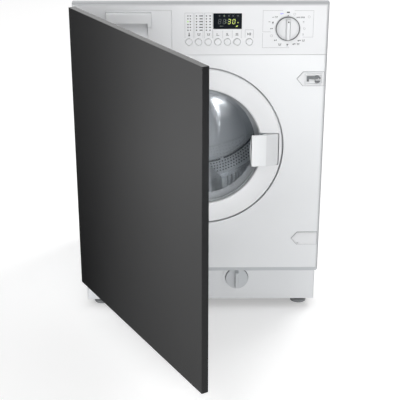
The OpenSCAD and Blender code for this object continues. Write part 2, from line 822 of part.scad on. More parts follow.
module door_frame() {
    ear_x0 = handle_pin_x - 7;
    ear_x1 = handle_pin_x + 7;
    color(pale_grey) difference() {
        union() {
            around_y(0, door_z) rotate_extrude()
                polygon([[glass_open_r - 2, frame_y0 + glass_t], [flange_r + seat, frame_y0 + glass_t],
                    [flange_r + seat, frame_y0 - 3], [flange_r + 4, frame_y0 - 3], [flange_r + 4, frame_y0],
                    [ring_r - ring_t - seat, frame_y0], [ring_r - ring_t - seat, frame_y1 - 3],
                    [ring_r - ring_t - 4, frame_y1], [glass_open_r - 2, frame_y1]]);
            for (z = [handle_z - pocket_z - 3, handle_z + pocket_z])
                block([ear_x0, 1, z], [ear_x1, frame_y0 + 1, z + 3]);
        }
        slab_y(-5, frame_y0 + 3)
            rounded_rect(pocket_x0 + 14, pocket_x1, handle_z - pocket_z, handle_z + pocket_z, 4);
        translate([handle_pin_x, handle_pin_y, handle_z - pocket_z - 5])
            cylinder(r = handle_pin_r + run, h = 2 * pocket_z + 10);
        block([latch_x - 8, 0, handle_z - 7], [latch_x + 12, frame_y1 + 1, handle_z + 7]);
        translate([latch_x, latch_y, handle_z - 12]) cylinder(r = 1.5 + run, h = 24);
        block([-ring_r - 1, frame_y0 - 4, door_z - door_knuckle_h / 2 - 1],
            [leaf_x1 + 1, leaf_y1 + seat, door_z + door_knuckle_h / 2 + 1]);
    }
}

module door_glass() {
    y0 = frame_y0;
    color("#9fb0ba", 0.45) around_y(0, door_z) rotate_extrude()
        polygon(concat(
            [[0, bowl_d + 3], [bowl_r1 * 0.55, bowl_d + 1.5]],
            arc([bowl_r1 - 10, bowl_d - 10], 10, 80, 12, 5),
            [[bowl_r0, y0 + glass_t + 4], [bowl_r0 + 3, y0 + glass_t], [flange_r, y0 + glass_t], [flange_r, y0],
                [bowl_r0 - 2, y0], [bowl_r0 - glass_t, y0 + 4]],
            arc([bowl_r1 - 10, bowl_d - 10], 10 - glass_t, 12, 80, 5),
            [[bowl_r1 * 0.55, bowl_d + 1.5 - glass_t], [0, bowl_d + 3 - glass_t]]));
}

leaf_t = 3;
leaf_y0 = 3;
leaf_y1 = leaf_y0 + leaf_t;
leaf_x1 = -168;
knuckle_r = door_pin_r + 3;
module door_hinge_leaf() {
    h = door_knuckle_h;
    color(steel) translate([0, 0, door_z - h / 2]) difference() {
        union() {
            translate([door_pin_x, door_pin_y, 0]) cylinder(r = knuckle_r, h = h);
            block([door_pin_x + knuckle_r - leaf_t, door_pin_y, 0], [door_pin_x + knuckle_r, leaf_y1, h]);
            block([door_pin_x + knuckle_r - leaf_t, leaf_y0, 0], [leaf_x1, leaf_y1, h]);
        }
        translate([door_pin_x, door_pin_y, -1]) cylinder(r = door_pin_r + run, h = h + 2);
    }
}

bracket_t = 2;
ear_h = 6;
module door_hinge_bracket() {
    h = door_knuckle_h / 2 + seat;
    color(steel) {
        block([door_pin_x - knuckle_r, pocket_d - bracket_t - seat, door_z - h - ear_h],
            [door_pin_x + knuckle_r, pocket_d - seat, door_z + h + ear_h]);
        for (s = [-1, 1]) translate([0, 0, door_z + s * (h + ear_h / 2) - ear_h / 2]) {
            translate([door_pin_x, door_pin_y, 0]) cylinder(r = knuckle_r, h = ear_h);
            block([door_pin_x - knuckle_r, door_pin_y, 0], [door_pin_x + knuckle_r, pocket_d - seat, ear_h]);
        }
        translate([door_pin_x, door_pin_y, door_z - h - ear_h]) cylinder(r = door_pin_r, h = 2 * (h + ear_h));
    }
}

module door_handle() {
    bow = 250;
    color(white) intersection() {
        union() {
            translate([0, 0, handle_z - handle_h]) linear_extrude(2 * handle_h)
                polygon([[handle_x1, -3], [158, -handle_out + 2], [122, -handle_out],
                    [handle_x0, -handle_out + 3], [handle_x0 + 1.5, -handle_out + 4.5],
                    [146, -handle_out + 6], [153, -3], [167, 7], [184, 7.5], [handle_x1, 3]]);
        }
        union() {
            slab_y(-40, 40) intersection() {
                rounded_rect(handle_x0, handle_x1, handle_z - handle_h / 2, handle_z + handle_h / 2, 5);
                translate([handle_x0 + bow, handle_z]) circle(bow, $fn = 360);
            }
            translate([handle_pin_x, handle_pin_y, handle_z - pocket_z - 2.5])
                cylinder(r = handle_pin_r, h = 2 * pocket_z + 5);
        }
    }
}

module door_latch() {
    color(steel) translate([0, 0, handle_z]) {
        translate([0, 0, -5]) linear_extrude(10) {
            translate([latch_x, latch_y]) circle(4);
            polygon([[latch_x - 3, latch_y], [latch_x + 3, latch_y], [latch_x + 3, 36], [latch_x - 5, 33],
                [latch_x - 5, 31], [latch_x - 2, 30]]);
        }
        translate([latch_x, latch_y, -10]) cylinder(r = 1.5, h = 20);
    }
}

module door_lock() {
    y0 = dish_d + front_t + seat;
    color(dark_grey) difference() {
        block([bellows_r + gasket_t / 2 + 1.2, y0, handle_z - 36], [latch_x + 32, y0 + 20, handle_z + 36]);
        block([latch_x - 9, y0 - 1, handle_z - 9], [latch_x + 14, y0 + 16, handle_z + 9]);
    }
}

gasket_t = 2.6;
bowl_wall_y0 = frame_y0 + glass_t + 4;
lip_y = dish_d + 14;
lip_share = (lip_y - bowl_wall_y0) / (bowl_d - 8 - bowl_wall_y0);
lip_r = bowl_r0 - (bowl_r0 - bowl_r1) * lip_share + gasket_t / 2 + 0.6;
bellows_r = mouth_r + 4;
gasket_grip = mouth_r + front_t / 2 + gasket_t / 2 + seat;
gasket_in = mouth_r - front_t / 2 - gasket_t / 2 - seat;
gasket_y = dish_d + mouth_d + gasket_t / 2 + seat;
gasket_rear = tub_mouth_r + tub_t + gasket_t / 2 + seat;
module door_gasket() {
    color(rubber_grey) around_y(0, door_z) rotate_extrude() {
        polygon(strip([[gasket_grip, dish_d + 4], [gasket_grip, gasket_y], [gasket_in, gasket_y],
            [gasket_in, dish_d + 6], [gasket_in - 6, dish_d + 6], [lip_r, lip_y]], gasket_t));
        polygon(strip([[gasket_in - 4, dish_d + 6], [gasket_in - 12, dish_d + 15], [bellows_r, tub_y0 - 24],
            [bellows_r, tub_y0 - 20], [tub_mouth_r - 3, tub_y0 - 15.5], [gasket_rear, tub_y0 - 13],
            [gasket_rear, tub_y0 - tub_t]], gasket_t));
    }
}

// Tub

module tub_front() {
    r = tub_r - tub_t / 2;
    color(pale_grey) around_y(0, door_z) {
        rotate_extrude() polygon(strip(concat(
            [[tub_mouth_r + tub_t / 2, tub_y0 - 10], [tub_mouth_r + tub_t / 2, tub_y0 + tub_t / 2]],
            [[r - 24, tub_y0 + tub_t / 2 + 2], [r, tub_y0 + 20], [r, tub_split - tub_t / 2],
                [r + 7, tub_split - tub_t / 2]]), tub_t));
    }
}

damper_y = 260;
damper_pin_r = 4;
damper_foot_x = 225;
damper_foot_z = base_z + 30;
damper_head_x = 150;
damper_head_z = door_z - sqrt(tub_r * tub_r - damper_head_x * damper_head_x) - 24;
hub_r = bearing_r + 8;
hub_y1 = tub_back + 42;
sump_x = 70;
sump_z = door_z - tub_r - 27;
sump_y0 = tub_split + 10;
sump_y1 = tub_back - 10;
sump_x1 = pump_x + hose_r + 11;
spout_r = hose_r + 2 - seat;
spout_l = 24;
rib_n = 12;
motor_y1 = belt_mid - belt_w / 2 - 14;
motor_y0 = motor_y1 - motor_l;
lug_x = 30;
lug_z = 205;
lug_ys = [motor_y0 + 25, tub_back - 30];
module tub_rear() {
    r = tub_r - tub_t / 2;
    color(pale_grey) difference() {
        union() {
            around_y(0, door_z) {
                rotate_extrude() polygon(strip([[r + 7, tub_split + tub_t / 2 + seat],
                    [r, tub_split + tub_t / 2 + seat], [r, tub_back - 14], [r - 14, tub_back],
                    [hub_r - 2, tub_back + 6]], tub_t));
                rotate_extrude() polygon([[bearing_r + seat, tub_back - 4], [hub_r, tub_back - 4], [hub_r, hub_y1],
                    [bearing_r + seat, hub_y1]]);
                for (k = [0 : rib_n - 1]) rotate([0, 0, (k + 0.5) * 360 / rib_n])
                    rotate([90, 0, 0]) translate([0, 0, -2]) linear_extrude(4)
                        polygon([[hub_r - 1, tub_back], [tub_r - 16, tub_back - 4], [tub_r - 16, tub_back + 6],
                            [hub_r - 1, hub_y1 - 4]]);
            }
            block([-sump_x, sump_y0, sump_z], [sump_x1, sump_y1, door_z - tub_r + 40]);
            translate([pump_x, spout_y, sump_z - spout_l]) cylinder(r = spout_r, h = spout_l + eps);
            for (s = [-1, 1]) {
                damper_clevis(s * damper_head_x, damper_head_z, door_z - tub_r * 0.78);
                spring_lug(s);
            }
            for (x = [motor_x - lug_x, motor_x + lug_x], y = lug_ys)
                block([x - 6, y - 8, lug_z], [x + 6, y + 8, door_z - sqrt(tub_r * tub_r - x * x) + 3]);
        }
        around_y(0, door_z, tub_split) cylinder(r = tub_r - tub_t, h = tub_back - 14 - tub_split);
        block([-sump_x + tub_t, sump_y0 + tub_t, sump_z + tub_t], [sump_x1 - tub_t, sump_y1 - tub_t, door_z]);
        translate([pump_x, spout_y, sump_z - spout_l - 1]) cylinder(r = hose_r - 2, h = spout_l + tub_t + 2);
        for (x = [-heater_x, heater_x]) around_y(x, heater_z, sump_y1 - 30)
            cylinder(r = heater_r + run, h = 40);
    }
}

spring_lug_t = 4;
module spring_lug(s) {
    z = spring_low - seat;
    w = hanger_w / 2;
    difference() {
        block([min(s * (tub_r - 60), s * (spring_at + spring_r)), hanger_y - w, z - spring_lug_t],
            [max(s * (tub_r - 60), s * (spring_at + spring_r)), hanger_y + w, z]);
        around_y(0, door_z, tub_split) cylinder(r = tub_r - tub_t, h = tub_back - tub_split);
    }
}

// Drum

// Angle of the first lifter from the right, turning downwards, and the plain angle on each side of a lifter.
lifter_a = 82;
plain_a = 17;
module drum_hole(a, y) {
    around_y(0, door_z, y) rotate([0, 0, a]) rotate([0, 90, 0])
        translate([0, 0, drum_r - 6]) cylinder(r = hole_r, h = 12, $fn = 24);
}
module drum_shell() {
    r = drum_r - drum_t / 2;
    row = (drum_rear - drum_y0 - 70) / (hole_rows - 1);
    col = (holes_turn - 2 * plain_a) / hole_cols;
    color(steel) difference() {
        around_y(0, door_z) rotate_extrude() polygon(strip(concat(
            [[drum_mouth_r + 6, drum_y0 + 10], [drum_mouth_r + 0.5, drum_y0 + 8],
                [drum_mouth_r + 0.5, drum_y0 + 3], [drum_mouth_r + 6, drum_y0 + 1]],
            arc([r - 16, drum_y0 + 20], 16, -72, 0, 6),
            [[r, drum_rear - drum_t]]), drum_t));
        for (k = [0 : lifters - 1], i = [0 : hole_rows - 1], j = [0 : hole_cols - 1])
            drum_hole(lifter_a + k * holes_turn + plain_a + (j + (i % 2 == 0 ? 0.25 : 0.75)) * col,
                drum_y0 + 40 + i * row);
    }
}

emboss_r = 178;
emboss_d = 12;
module drum_back() {
    r = drum_r - drum_t - seat;
    color(steel) around_y(0, door_z) {
        rotate_extrude() polygon(strip([[r - 0.5, drum_rear - 14], [r - 0.5, drum_rear - 2],
            [emboss_r + 5, drum_rear - 2], [emboss_r - 3, drum_rear - emboss_d], [90, drum_rear - emboss_d],
            [74, drum_rear - 4], [0, drum_rear - 4]], drum_t));
    }
}

spider_y = drum_rear + 12;
module drum_spider() {
    arm_r = drum_r - 14;
    color("#a7abb0") around_y(0, door_z) {
        translate([0, 0, drum_rear - 3.5 + seat]) cylinder(r = 2 * shaft_r, h = 20);
        for (k = [0 : lifters - 1]) rotate([0, 0, lifter_a + k * holes_turn]) difference() {
            rotate([90, 0, 0]) translate([0, 0, -12]) linear_extrude(24)
                polygon([[0, drum_rear + 1], [arm_r, drum_rear + 1], [arm_r, drum_rear + 7],
                    [2 * shaft_r, spider_y + 4], [0, spider_y + 4]]);
            for (s = [-1, 1]) translate([2 * shaft_r + 8, s * 8 - (s < 0 ? 5 : 0), drum_rear + 4])
                cube([arm_r - 3 * shaft_r - 10, 5, 20]);
        }
        translate([0, 0, drum_rear]) cylinder(r = shaft_r, h = belt_mid + belt_w / 2 + 6 - drum_rear);
    }
}

module drum_lifters() {
    y0 = drum_y0 + 34;
    y1 = drum_rear - 30;
    w = lifter_w / 2;
    base = drum_r - drum_t - seat;
    foot = sqrt(base * base - w * w);
    top = drum_r - lifter_h;
    color(pale_grey) around_y(0, door_z) for (k = [0 : lifters - 1]) rotate([0, 0, lifter_a + k * holes_turn])
        difference() {
            intersection() {
                translate([0, 0, y0]) linear_extrude(y1 - y0)
                    polygon([[base + 2, -w], [foot - 6, -w], [top + 4, -10], [top, -5],
                        [top, 5], [top + 4, 10], [foot - 6, w], [base + 2, w]]);
                cylinder(r = base, h = cab_d);
                rotate([90, 0, 0]) translate([0, 0, -lifter_w]) linear_extrude(2 * lifter_w)
                    polygon([[base + 5, y0], [top - 1, y0 + 24], [top - 1, y1 - 24], [base + 5, y1]]);
            }
            translate([0, 0, y0 + 12]) linear_extrude(y1 - y0 - 24)
                polygon([[base + 5, -w + 8], [foot - 2, -w + 8], [top + 12, -4], [top + 12, 4],
                    [foot - 2, w - 8], [base + 5, w - 8]]);
        }
}

bearing_ys = [tub_back, hub_y1 - bearing_w - 2];
module drum_bearings() {
    color(steel) for (y = bearing_ys) around_y(0, door_z, y) difference() {
        cylinder(r = bearing_r, h = bearing_w);
        translate([0, 0, -1]) cylinder(r = shaft_r + run, h = bearing_w + 2);
        for (z = [-1, bearing_w - 1.5]) translate([0, 0, z]) difference() {
            cylinder(r = bearing_r - 4, h = 2.5);
            translate([0, 0, -1]) cylinder(r = shaft_r + 4, h = 6);
        }
    }
}

// Drive

groove_n = 4;
spokes = 5;
module groove_profile(r, w) {
    pitch = (w - 2) / groove_n;
    polygon(concat([[r - 5, -w / 2 - 2], [r + 2, -w / 2 - 2], [r + 2, -w / 2]],
        [for (k = [0 : groove_n - 1], q = [0, 1]) [q == 0 ? r : r - 1.2, -w / 2 + 1 + (k + q / 2) * pitch]],
        [[r, w / 2 - 1], [r + 2, w / 2], [r + 2, w / 2 + 2], [r - 5, w / 2 + 2]]));
}
module drum_pulley() {
    color("#c2c5c9") around_y(0, door_z, belt_mid) {
        rotate_extrude() groove_profile(pulley_r, belt_w);
        difference() {
            union() {
                translate([0, 0, -8]) cylinder(r = 2 * shaft_r, h = 14);
                for (k = [0 : spokes - 1]) rotate([0, 0, k * 360 / spokes])
                    translate([0, 0, -3]) linear_extrude(6)
                        polygon([[0, -13], [pulley_r - 4, -8], [pulley_r - 4, 8], [0, 13]]);
            }
            translate([0, 0, -20]) cylinder(r = shaft_r + seat, h = 40);
        }
    }
}

module motor_pulley() {
    color(steel) around_y(motor_x, motor_z, belt_mid) {
        rotate_extrude() groove_profile(motor_pulley_r, belt_w);
        translate([0, 0, -belt_w / 2 - 2]) cylinder(r = motor_pulley_r - 3, h = belt_w + 4);
        translate([0, 0, -belt_w / 2 - 34]) cylinder(r = 6, h = 36);
    }
}

belt_gap = seat;
centre = [motor_x, motor_z - door_z];
centre_l = norm(centre);
belt_a = atan2(centre[1], centre[0]);
module belt_outline(grow) {
    r0 = pulley_r + belt_gap + grow;
    r1 = motor_pulley_r + belt_gap + grow;
    b = acos((r0 - r1) / centre_l);
    circle(r0);
    translate(centre) circle(r1);
    polygon([r0 * [cos(belt_a + b), sin(belt_a + b)], r0 * [cos(belt_a - b), sin(belt_a - b)],
        centre + r1 * [cos(belt_a - b), sin(belt_a - b)], centre + r1 * [cos(belt_a + b), sin(belt_a + b)]]);
}
module drive_belt() {
    half = belt_w / 2 - 1;
    color(dark_grey) translate([0, 0, door_z]) slab_y(belt_mid - half, belt_mid + half) difference() {
        belt_outline(belt_t);
        belt_outline(0);
    }
}

module motor() {
    fins = 9;
    color(mid_grey) difference() {
        union() {
            around_y(motor_x, motor_z, motor_y0) {
                cylinder(r = motor_r, h = 22);
                translate([0, 0, motor_l - 22]) cylinder(r = motor_r, h = 22);
                translate([0, 0, 20]) cylinder(r = motor_r - 6, h = motor_l - 40);
                for (k = [1 : fins]) translate([0, 0, 22 + k * (motor_l - 44) / (fins + 1) - 1])
                    cylinder(r = motor_r - 3, h = 2);
            }
            for (x = [motor_x - lug_x, motor_x + lug_x], y = lug_ys)
                block([x - 6, y - 8, motor_z], [x + 6, y + 8, lug_z - seat]);
        }
        around_y(motor_x, motor_z, motor_y1 - 30) cylinder(r = 6 + run, h = 40);
    }
}

weight_r0 = bellows_r + 8;
weight_r1 = tub_r - 8;
weight_y0 = dish_d + 15;
weight_y1 = tub_y0 - seat;
weight_bolt_r = 6;
weight_edge = 4;
weight_slope = 16;
module front_weights() {
    color(concrete) for (a = [35, 215]) around_y(0, door_z) difference() {
        rotate([0, 0, a]) rotate_extrude(angle = 110)
            polygon([[weight_r0, weight_y0 + weight_edge], [weight_r0 + weight_edge, weight_y0],
                [weight_r1 - weight_edge, weight_y0], [weight_r1, weight_y0 + weight_edge],
                [weight_r1, weight_y1 - weight_edge], [weight_r1 - weight_slope, weight_y1],
                [weight_r0, weight_y1]]);
        for (b = [18, 92]) rotate([0, 0, a + b]) translate([(weight_r0 + weight_r1) / 2, 0, weight_y0 - 5])
            cylinder(r = weight_bolt_r, h = weight_y1 - weight_y0 + 10);
    }
}

// Suspension

// Rings of points along a coil, closed at both ends by flat discs.
function coil_point(t, r, h, turns, a) =
    let (turn = 360 * turns * t, c = [cos(turn), sin(turn)], reach = r + wire_r * cos(a))
    [reach * c[0], reach * c[1], wire_r + (h - 2 * wire_r) * t + wire_r * sin(a)];
rings_per_turn = 8;
wire_sides = 6;
module coil(r, h, turns) {
    n = turns * rings_per_turn;
    points = [for (i = [0 : n], s = [0 : wire_sides - 1])
        coil_point(i / n, r, h, turns, s * 360 / wire_sides)];
    walls = [for (i = [0 : n - 1], s = [0 : wire_sides - 1], q = [0, 1])
        let (a = i * wire_sides + s, b = i * wire_sides + (s + 1) % wire_sides)
        q == 0 ? [a, b, b + wire_sides] : [a, b + wire_sides, a + wire_sides]];
    caps = concat(
        [for (s = [1 : wire_sides - 2]) [0, s + 1, s]],
        [for (s = [1 : wire_sides - 2]) [n * wire_sides, n * wire_sides + s, n * wire_sides + s + 1]]);
    polyhedron(points, concat(walls, caps));
}
// Least gap between one curl and the next, measured on the points of the wire's middle line.
function coil_gap(r, h, turns) =
    let (n = turns * rings_per_turn, mid = [for (i = [0 : n])
        [r * cos(360 * i / rings_per_turn), r * sin(360 * i / rings_per_turn), (h - 2 * wire_r) * i / n]])
    min([for (i = [0 : n], j = [i + rings_per_turn / 2 : n]) norm(mid[i] - mid[j])]) - 2 * wire_r;
module suspension_springs() {
    echo(least_gap_between_curls_mm = coil_gap(spring_r - wire_r, spring_high - spring_low, spring_turns));
    color(steel) for (s = [-1, 1]) translate([s * spring_at, hanger_y, spring_low])
        coil(spring_r - wire_r, spring_high - spring_low, spring_turns);
}

damper_run = [damper_head_x - damper_foot_x, damper_head_z - damper_foot_z];
damper_l = norm(damper_run);
damper_tilt = atan2(damper_run[0], damper_run[1]);
module damper_eye() {
    translate([0, (clevis_gap - 2 * slide) / 2, 0]) rotate([90, 0, 0]) difference() {
        cylinder(r = damper_pin_r + 5, h = clevis_gap - 2 * slide);
        translate([0, 0, -1]) cylinder(r = damper_pin_r + seat, h = clevis_gap + 2);
    }
}
module one_damper() {
    eye = clevis_w / 2 + 2;
    neck_r = clevis_gap / 2 - 2;
    translate([damper_foot_x, damper_y, damper_foot_z]) rotate([0, damper_tilt, 0]) {
        damper_eye();
        translate([0, 0, damper_pin_r + 3]) cylinder(r = neck_r, h = eye);
        translate([0, 0, damper_l]) damper_eye();
        difference() {
            translate([0, 0, eye]) cylinder(r = damper_r, h = damper_l * 0.6);
            translate([0, 0, eye + 6]) cylinder(r = damper_r - 3, h = damper_l);
        }
        translate([0, 0, eye + damper_l * 0.3])
            cylinder(r = neck_r, h = damper_l * 0.7 - eye - damper_pin_r - 3);
        translate([0, 0, eye + damper_l * 0.3]) cylinder(r = damper_r - 3 - seat, h = 18);
    }
    for (p = [[damper_foot_x, damper_foot_z], [damper_head_x, damper_head_z]])
        around_y(p[0], p[1], damper_y - clevis_gap / 2 - clevis_t - 2)
            cylinder(r = damper_pin_r, h = clevis_gap + 2 * clevis_t + 4);
}
module dampers() {
    color(mid_grey) for (s = [0, 1]) mirror([s, 0, 0]) one_damper();
}

// Water

heater_x = 22;
heater_z = door_z - tub_r - 13;
heater_r = 4;
heater_l = 175;
heater_ends = 14;
heater_rim = 12;
heater_plate_t = 6;
module heater() {
    y0 = tub_back - heater_l;
    color(steel) {
        for (x = [-heater_x, heater_x]) around_y(x, heater_z, y0)
            cylinder(r = heater_r, h = heater_l + heater_ends);
        translate([0, y0, heater_z]) rotate([0, 0, 180]) rotate_extrude(angle = 180)
            translate([heater_x, 0]) circle(heater_r);
        block([-heater_x - heater_rim, sump_y1 + seat, heater_z - heater_rim],
            [heater_x + heater_rim, sump_y1 + heater_plate_t, heater_z + heater_rim]);
    }
}

intake_l = 45;
pump_motor_l = 60;
intake_h = 26;
pump_y0 = kick_back - 2;
chamber_l = sump_y0 + intake_l - pump_y0;
pump_y1 = pump_y0 + chamber_l + pump_motor_l;
pump_body_r = filter_r - 6;
saddle_t = 4;
saddle_ys = [pump_y0 + 60, pump_y1 - 30];
spout_y = sump_y0 + hose_r + 11;
hose_z0 = pump_z + filter_r + 6;
hose_z1 = sump_z - seat;
ribs = 6;
module sump_hose() {
    l = hose_z1 - hose_z0;
    pitch = (l - 24) / ribs;
    color(dark_grey) translate([pump_x, spout_y, hose_z0]) difference() {
        union() {
            cylinder(r = hose_r + 5, h = l);
            for (k = [0 : ribs - 1]) translate([0, 0, 12 + k * pitch + pitch / 4])
                cylinder(r1 = hose_r + 5, r2 = hose_r + 8, h = pitch / 4);
            for (k = [0 : ribs - 1]) translate([0, 0, 12 + k * pitch + pitch / 2 - eps])
                cylinder(r1 = hose_r + 8, r2 = hose_r + 5, h = pitch / 4);
        }
        translate([0, 0, -1]) cylinder(r = hose_r + 2, h = l + 2);
    }
}

module drain_pump() {
    color(mid_grey) difference() {
        union() {
            around_y(pump_x, pump_z, pump_y0) cylinder(r = filter_r - seat, h = chamber_l);
            around_y(pump_x, pump_z, pump_y0 + chamber_l - eps)
                cylinder(r = pump_body_r, h = pump_motor_l + eps);
            translate([pump_x, spout_y, pump_z]) cylinder(r = spout_r, h = filter_r + intake_h);
        }
        around_y(pump_x, pump_z, pump_y0 - 1) cylinder(r = filter_r - 5, h = chamber_l - 4);
        translate([pump_x, spout_y, pump_z]) cylinder(r = hose_r - 2, h = filter_r + intake_h + 1);
    }
}

module filter_cap() {
    color(pale_grey) around_y(pump_x, pump_z, pump_y0) {
        translate([0, 0, -5]) cylinder(r = filter_r - 1, h = 5 - seat);
        translate([0, 0, -1]) cylinder(r = filter_r - 5 - slide, h = 26);
        translate([0, 0, -18]) intersection() {
            translate([-4, -filter_r + 4, 0]) cube([8, 2 * filter_r - 8, 16]);
            cylinder(r1 = filter_r - 8, r2 = filter_r - 4, h = 16);
        }
    }
}

// The pipe from the pump ends in a plain spigot behind the machine, with a chamfered mouth.
pipe_r = hose_r + 1.2;
pipe_t = 2.5;
spigot_l = 25;
spigot_chamfer = 1.5;
collar_t = 4;
module drain_pipe() {
    y0 = pump_y1 + seat;
    y1 = cab_d + 1;
    color(dark_grey) difference() {
        union() {
            around_y(pump_x, pump_z, y0) cylinder(r = pipe_r, h = y1 - y0);
            around_y(pump_x, pump_z, y1 - eps) cylinder(r = hose_r, h = spigot_l - spigot_chamfer + eps);
            around_y(pump_x, pump_z, y1 + spigot_l - spigot_chamfer)
                cylinder(r1 = hose_r, r2 = hose_r - spigot_chamfer, h = spigot_chamfer);
            around_y(pump_x, pump_z, rear_y - collar_t - seat) cylinder(r = hose_r + 5, h = collar_t);
        }
        around_y(pump_x, pump_z, y0 - 1) cylinder(r = hose_r - pipe_t, h = cab_d);
    }
}

thread_l = 17;
valve_flange_r = inlet_r + 9;
valve_flange_t = 4;
valve_l = 52;
valve_w = 28;
coil_r = 13;
coil_drop = 34;
coil_l = 26;
spray_r = 7;
spray_t = 2.5;
module inlet_valve() {
    y0 = rear_y - valve_l;
    y1 = rear_y - valve_flange_t;
    y_hose = housing_y1 + seat;
    color("#dfe2e4") difference() {
        union() {
            around_y(inlet_x, inlet_mid, y1 - seat) cylinder(r = valve_flange_r, h = valve_flange_t);
            around_y(inlet_x, inlet_mid, y1 - 1)
                cylinder(r = inlet_r, h = valve_flange_t + 1 + sheet + thread_l);
            block([inlet_x - valve_w / 2, y0, inlet_mid - valve_w / 2],
                [inlet_x + valve_w / 2, y1, inlet_mid + valve_w / 2]);
            translate([inlet_x, y0 + coil_l, inlet_mid - coil_drop]) cylinder(r = coil_r, h = coil_l);
            around_y(inlet_x, inlet_mid, y_hose) cylinder(r = spray_r, h = y0 - y_hose + 1);
        }
        around_y(inlet_x, inlet_mid, rear_y - 5 * valve_flange_t) cylinder(r = inlet_r - 4, h = valve_l);
        around_y(inlet_x, inlet_mid, y_hose - 1) cylinder(r = spray_r - spray_t, h = y0 - y_hose + 12);
    }
}

gland_r = 11;
module cord_gland() {
    color(dark_grey) around_y(gland_x, inlet_mid, rear_y) difference() {
        union() {
            translate([0, 0, -8]) cylinder(r = gland_r + 4, h = 8 - seat);
            translate([0, 0, -1]) cylinder(r = gland_r, h = sheet + 2);
            translate([0, 0, sheet + seat]) cylinder(r1 = gland_r + 3, r2 = gland_r + 1, h = 7);
        }
        translate([0, 0, -10]) cylinder(r = 4, h = 30);
    }
}

// Feet

sole_bevel = 2;
stud_up = 39;
nut_h = 6;
module feet() {
    color(dark_grey) for (p = feet_xy) translate([p[0], p[1], 0]) {
        cylinder(r = foot_r, h = foot_t - sole_bevel);
        translate([0, 0, foot_t - sole_bevel - eps])
            cylinder(r1 = foot_r, r2 = foot_r - 1.5 * sole_bevel, h = sole_bevel);
        translate([0, 0, foot_t - 1]) cylinder(r = foot_stud_r, h = base_z + stud_up + 1 - foot_t);
        translate([0, 0, base_z - nut_h - seat]) cylinder(r = 2 * foot_stud_r, h = nut_h, $fn = 6);
    }
}

// Furniture panel and its fittings

module at_panel() {
    translate([pivot_x, pivot_y, 0]) rotate([0, 0, -panel_open])
        translate([-pivot_x, -pivot_y, 0]) children();
}

notch_x = pivot_x + 7;
notch_y = pivot_y - 6;
fork_h = 14;
web_h = 7.5;
web_t = 7;
cheek_h = fork_h - web_h - seat;
hinge_pin_r = 2.5;
arm_r = 4.5;
cup_x = panel_x + 14.5 + cup_r;
cup_deep = 12.5;
wing_w = 30;
wing_h = 26;
wing_screw = 21;
module furniture_panel() {
    color("#45464a") at_panel() difference() {
        block([panel_x, panel_y, panel_z], [panel_x + panel_w, panel_y + panel_t, panel_z + panel_h]);
        for (z = catch_heights) {
            block([panel_x - 1, notch_y, z - fork_h - 1.5], [notch_x, -panel_gap + 1, z + fork_h + 1.5]);
            block([notch_x - 1, pivot_y - web_t / 2 - seat, z - web_h - seat],
                [notch_x + 5, 0, z + web_h + seat]);
            around_y(cup_x, z, -panel_gap - cup_deep) cylinder(r = cup_r, h = cup_deep + 1);
        }
    }
}

module panel_hinge_cups() {
    color(steel) at_panel() for (z = catch_heights) difference() {
        union() {
            around_y(cup_x, z, -panel_gap - cup_deep + seat) cylinder(r = cup_r - seat, h = cup_deep);
            block([notch_x + 1, -panel_gap + seat, z - wing_h],
                [notch_x + 1 + wing_w, -panel_gap + 1.8, z + wing_h]);
            block([pivot_x, pivot_y - web_t / 2, z - web_h],
                [notch_x + 5 - seat, pivot_y + web_t / 2, z + web_h]);
            translate([pivot_x, pivot_y, z - web_h]) cylinder(r = arm_r, h = 2 * web_h);
            for (s = [-1, 1]) around_y(notch_x + 1 + wing_w / 2, z + s * wing_screw, -panel_gap + 1)
                cylinder(r1 = 4, r2 = 3, h = 2.4);
        }
        around_y(cup_x, z, -panel_gap - cup_deep + 2) cylinder(r = cup_r - 2, h = cup_deep + 4);
        translate([pivot_x, pivot_y, z - web_h - 1]) cylinder(r = hinge_pin_r + run, h = 2 * web_h + 2);
    }
}

module panel_hinge_arms() {
    color(steel) for (z = catch_heights) {
        slab_y(-2 - seat, -seat) difference() {
            union() {
                translate([hinge_cover_x, z]) scale([-1, 1]) catch_outline(0);
                translate([-half_w + 2, z - catch_h / 2]) square([catch_w / 2, catch_h]);
            }
            for (dx = [-1, 1]) translate([hinge_cover_x + dx * cover_screw, z]) circle(cover_screw_r);
        }
        for (s = [-1, 1]) translate([0, 0, z + (s * (fork_h + web_h + seat) - cheek_h) / 2]) {
            translate([pivot_x, pivot_y, 0]) cylinder(r = arm_r, h = cheek_h);
            block([pivot_x - 3, pivot_y, 0], [pivot_x + 3, -1 - seat, cheek_h]);
            linear_extrude(cheek_h)
                polygon([[pivot_x + 3 - eps, -14], [pivot_x + 3 - eps, -2], [pivot_x + 22, -2]]);
        }
        translate([pivot_x, pivot_y, z - fork_h]) cylinder(r = hinge_pin_r, h = 2 * fork_h);
        for (dx = [-1, 1]) around_y(hinge_cover_x + dx * cover_screw, z, -4.5) difference() {
            cylinder(r1 = 3, r2 = 4, h = 2.2);
            translate([-0.6, -5, -1]) cube([1.2, 10, 1.8]);
        }
    }
}

strike_x = catch_cover_x + 4;
module panel_strike() {
    color(steel) at_panel() {
        block([strike_x - 20, -panel_gap + seat, catch_high - 16],
            [strike_x + 20, -panel_gap + 2.3, catch_high + 16]);
        around_y(strike_x, catch_high, -panel_gap + 2) cylinder(r = 9, h = 9);
        around_y(strike_x, catch_high, -panel_gap + 11 - eps) cylinder(r1 = 9, r2 = 7, h = 2);
        for (s = [-1, 1]) around_y(strike_x + s * 14, catch_high, -panel_gap + 2)
            cylinder(r1 = 3.5, r2 = 2.5, h = 1.8);
    }
}

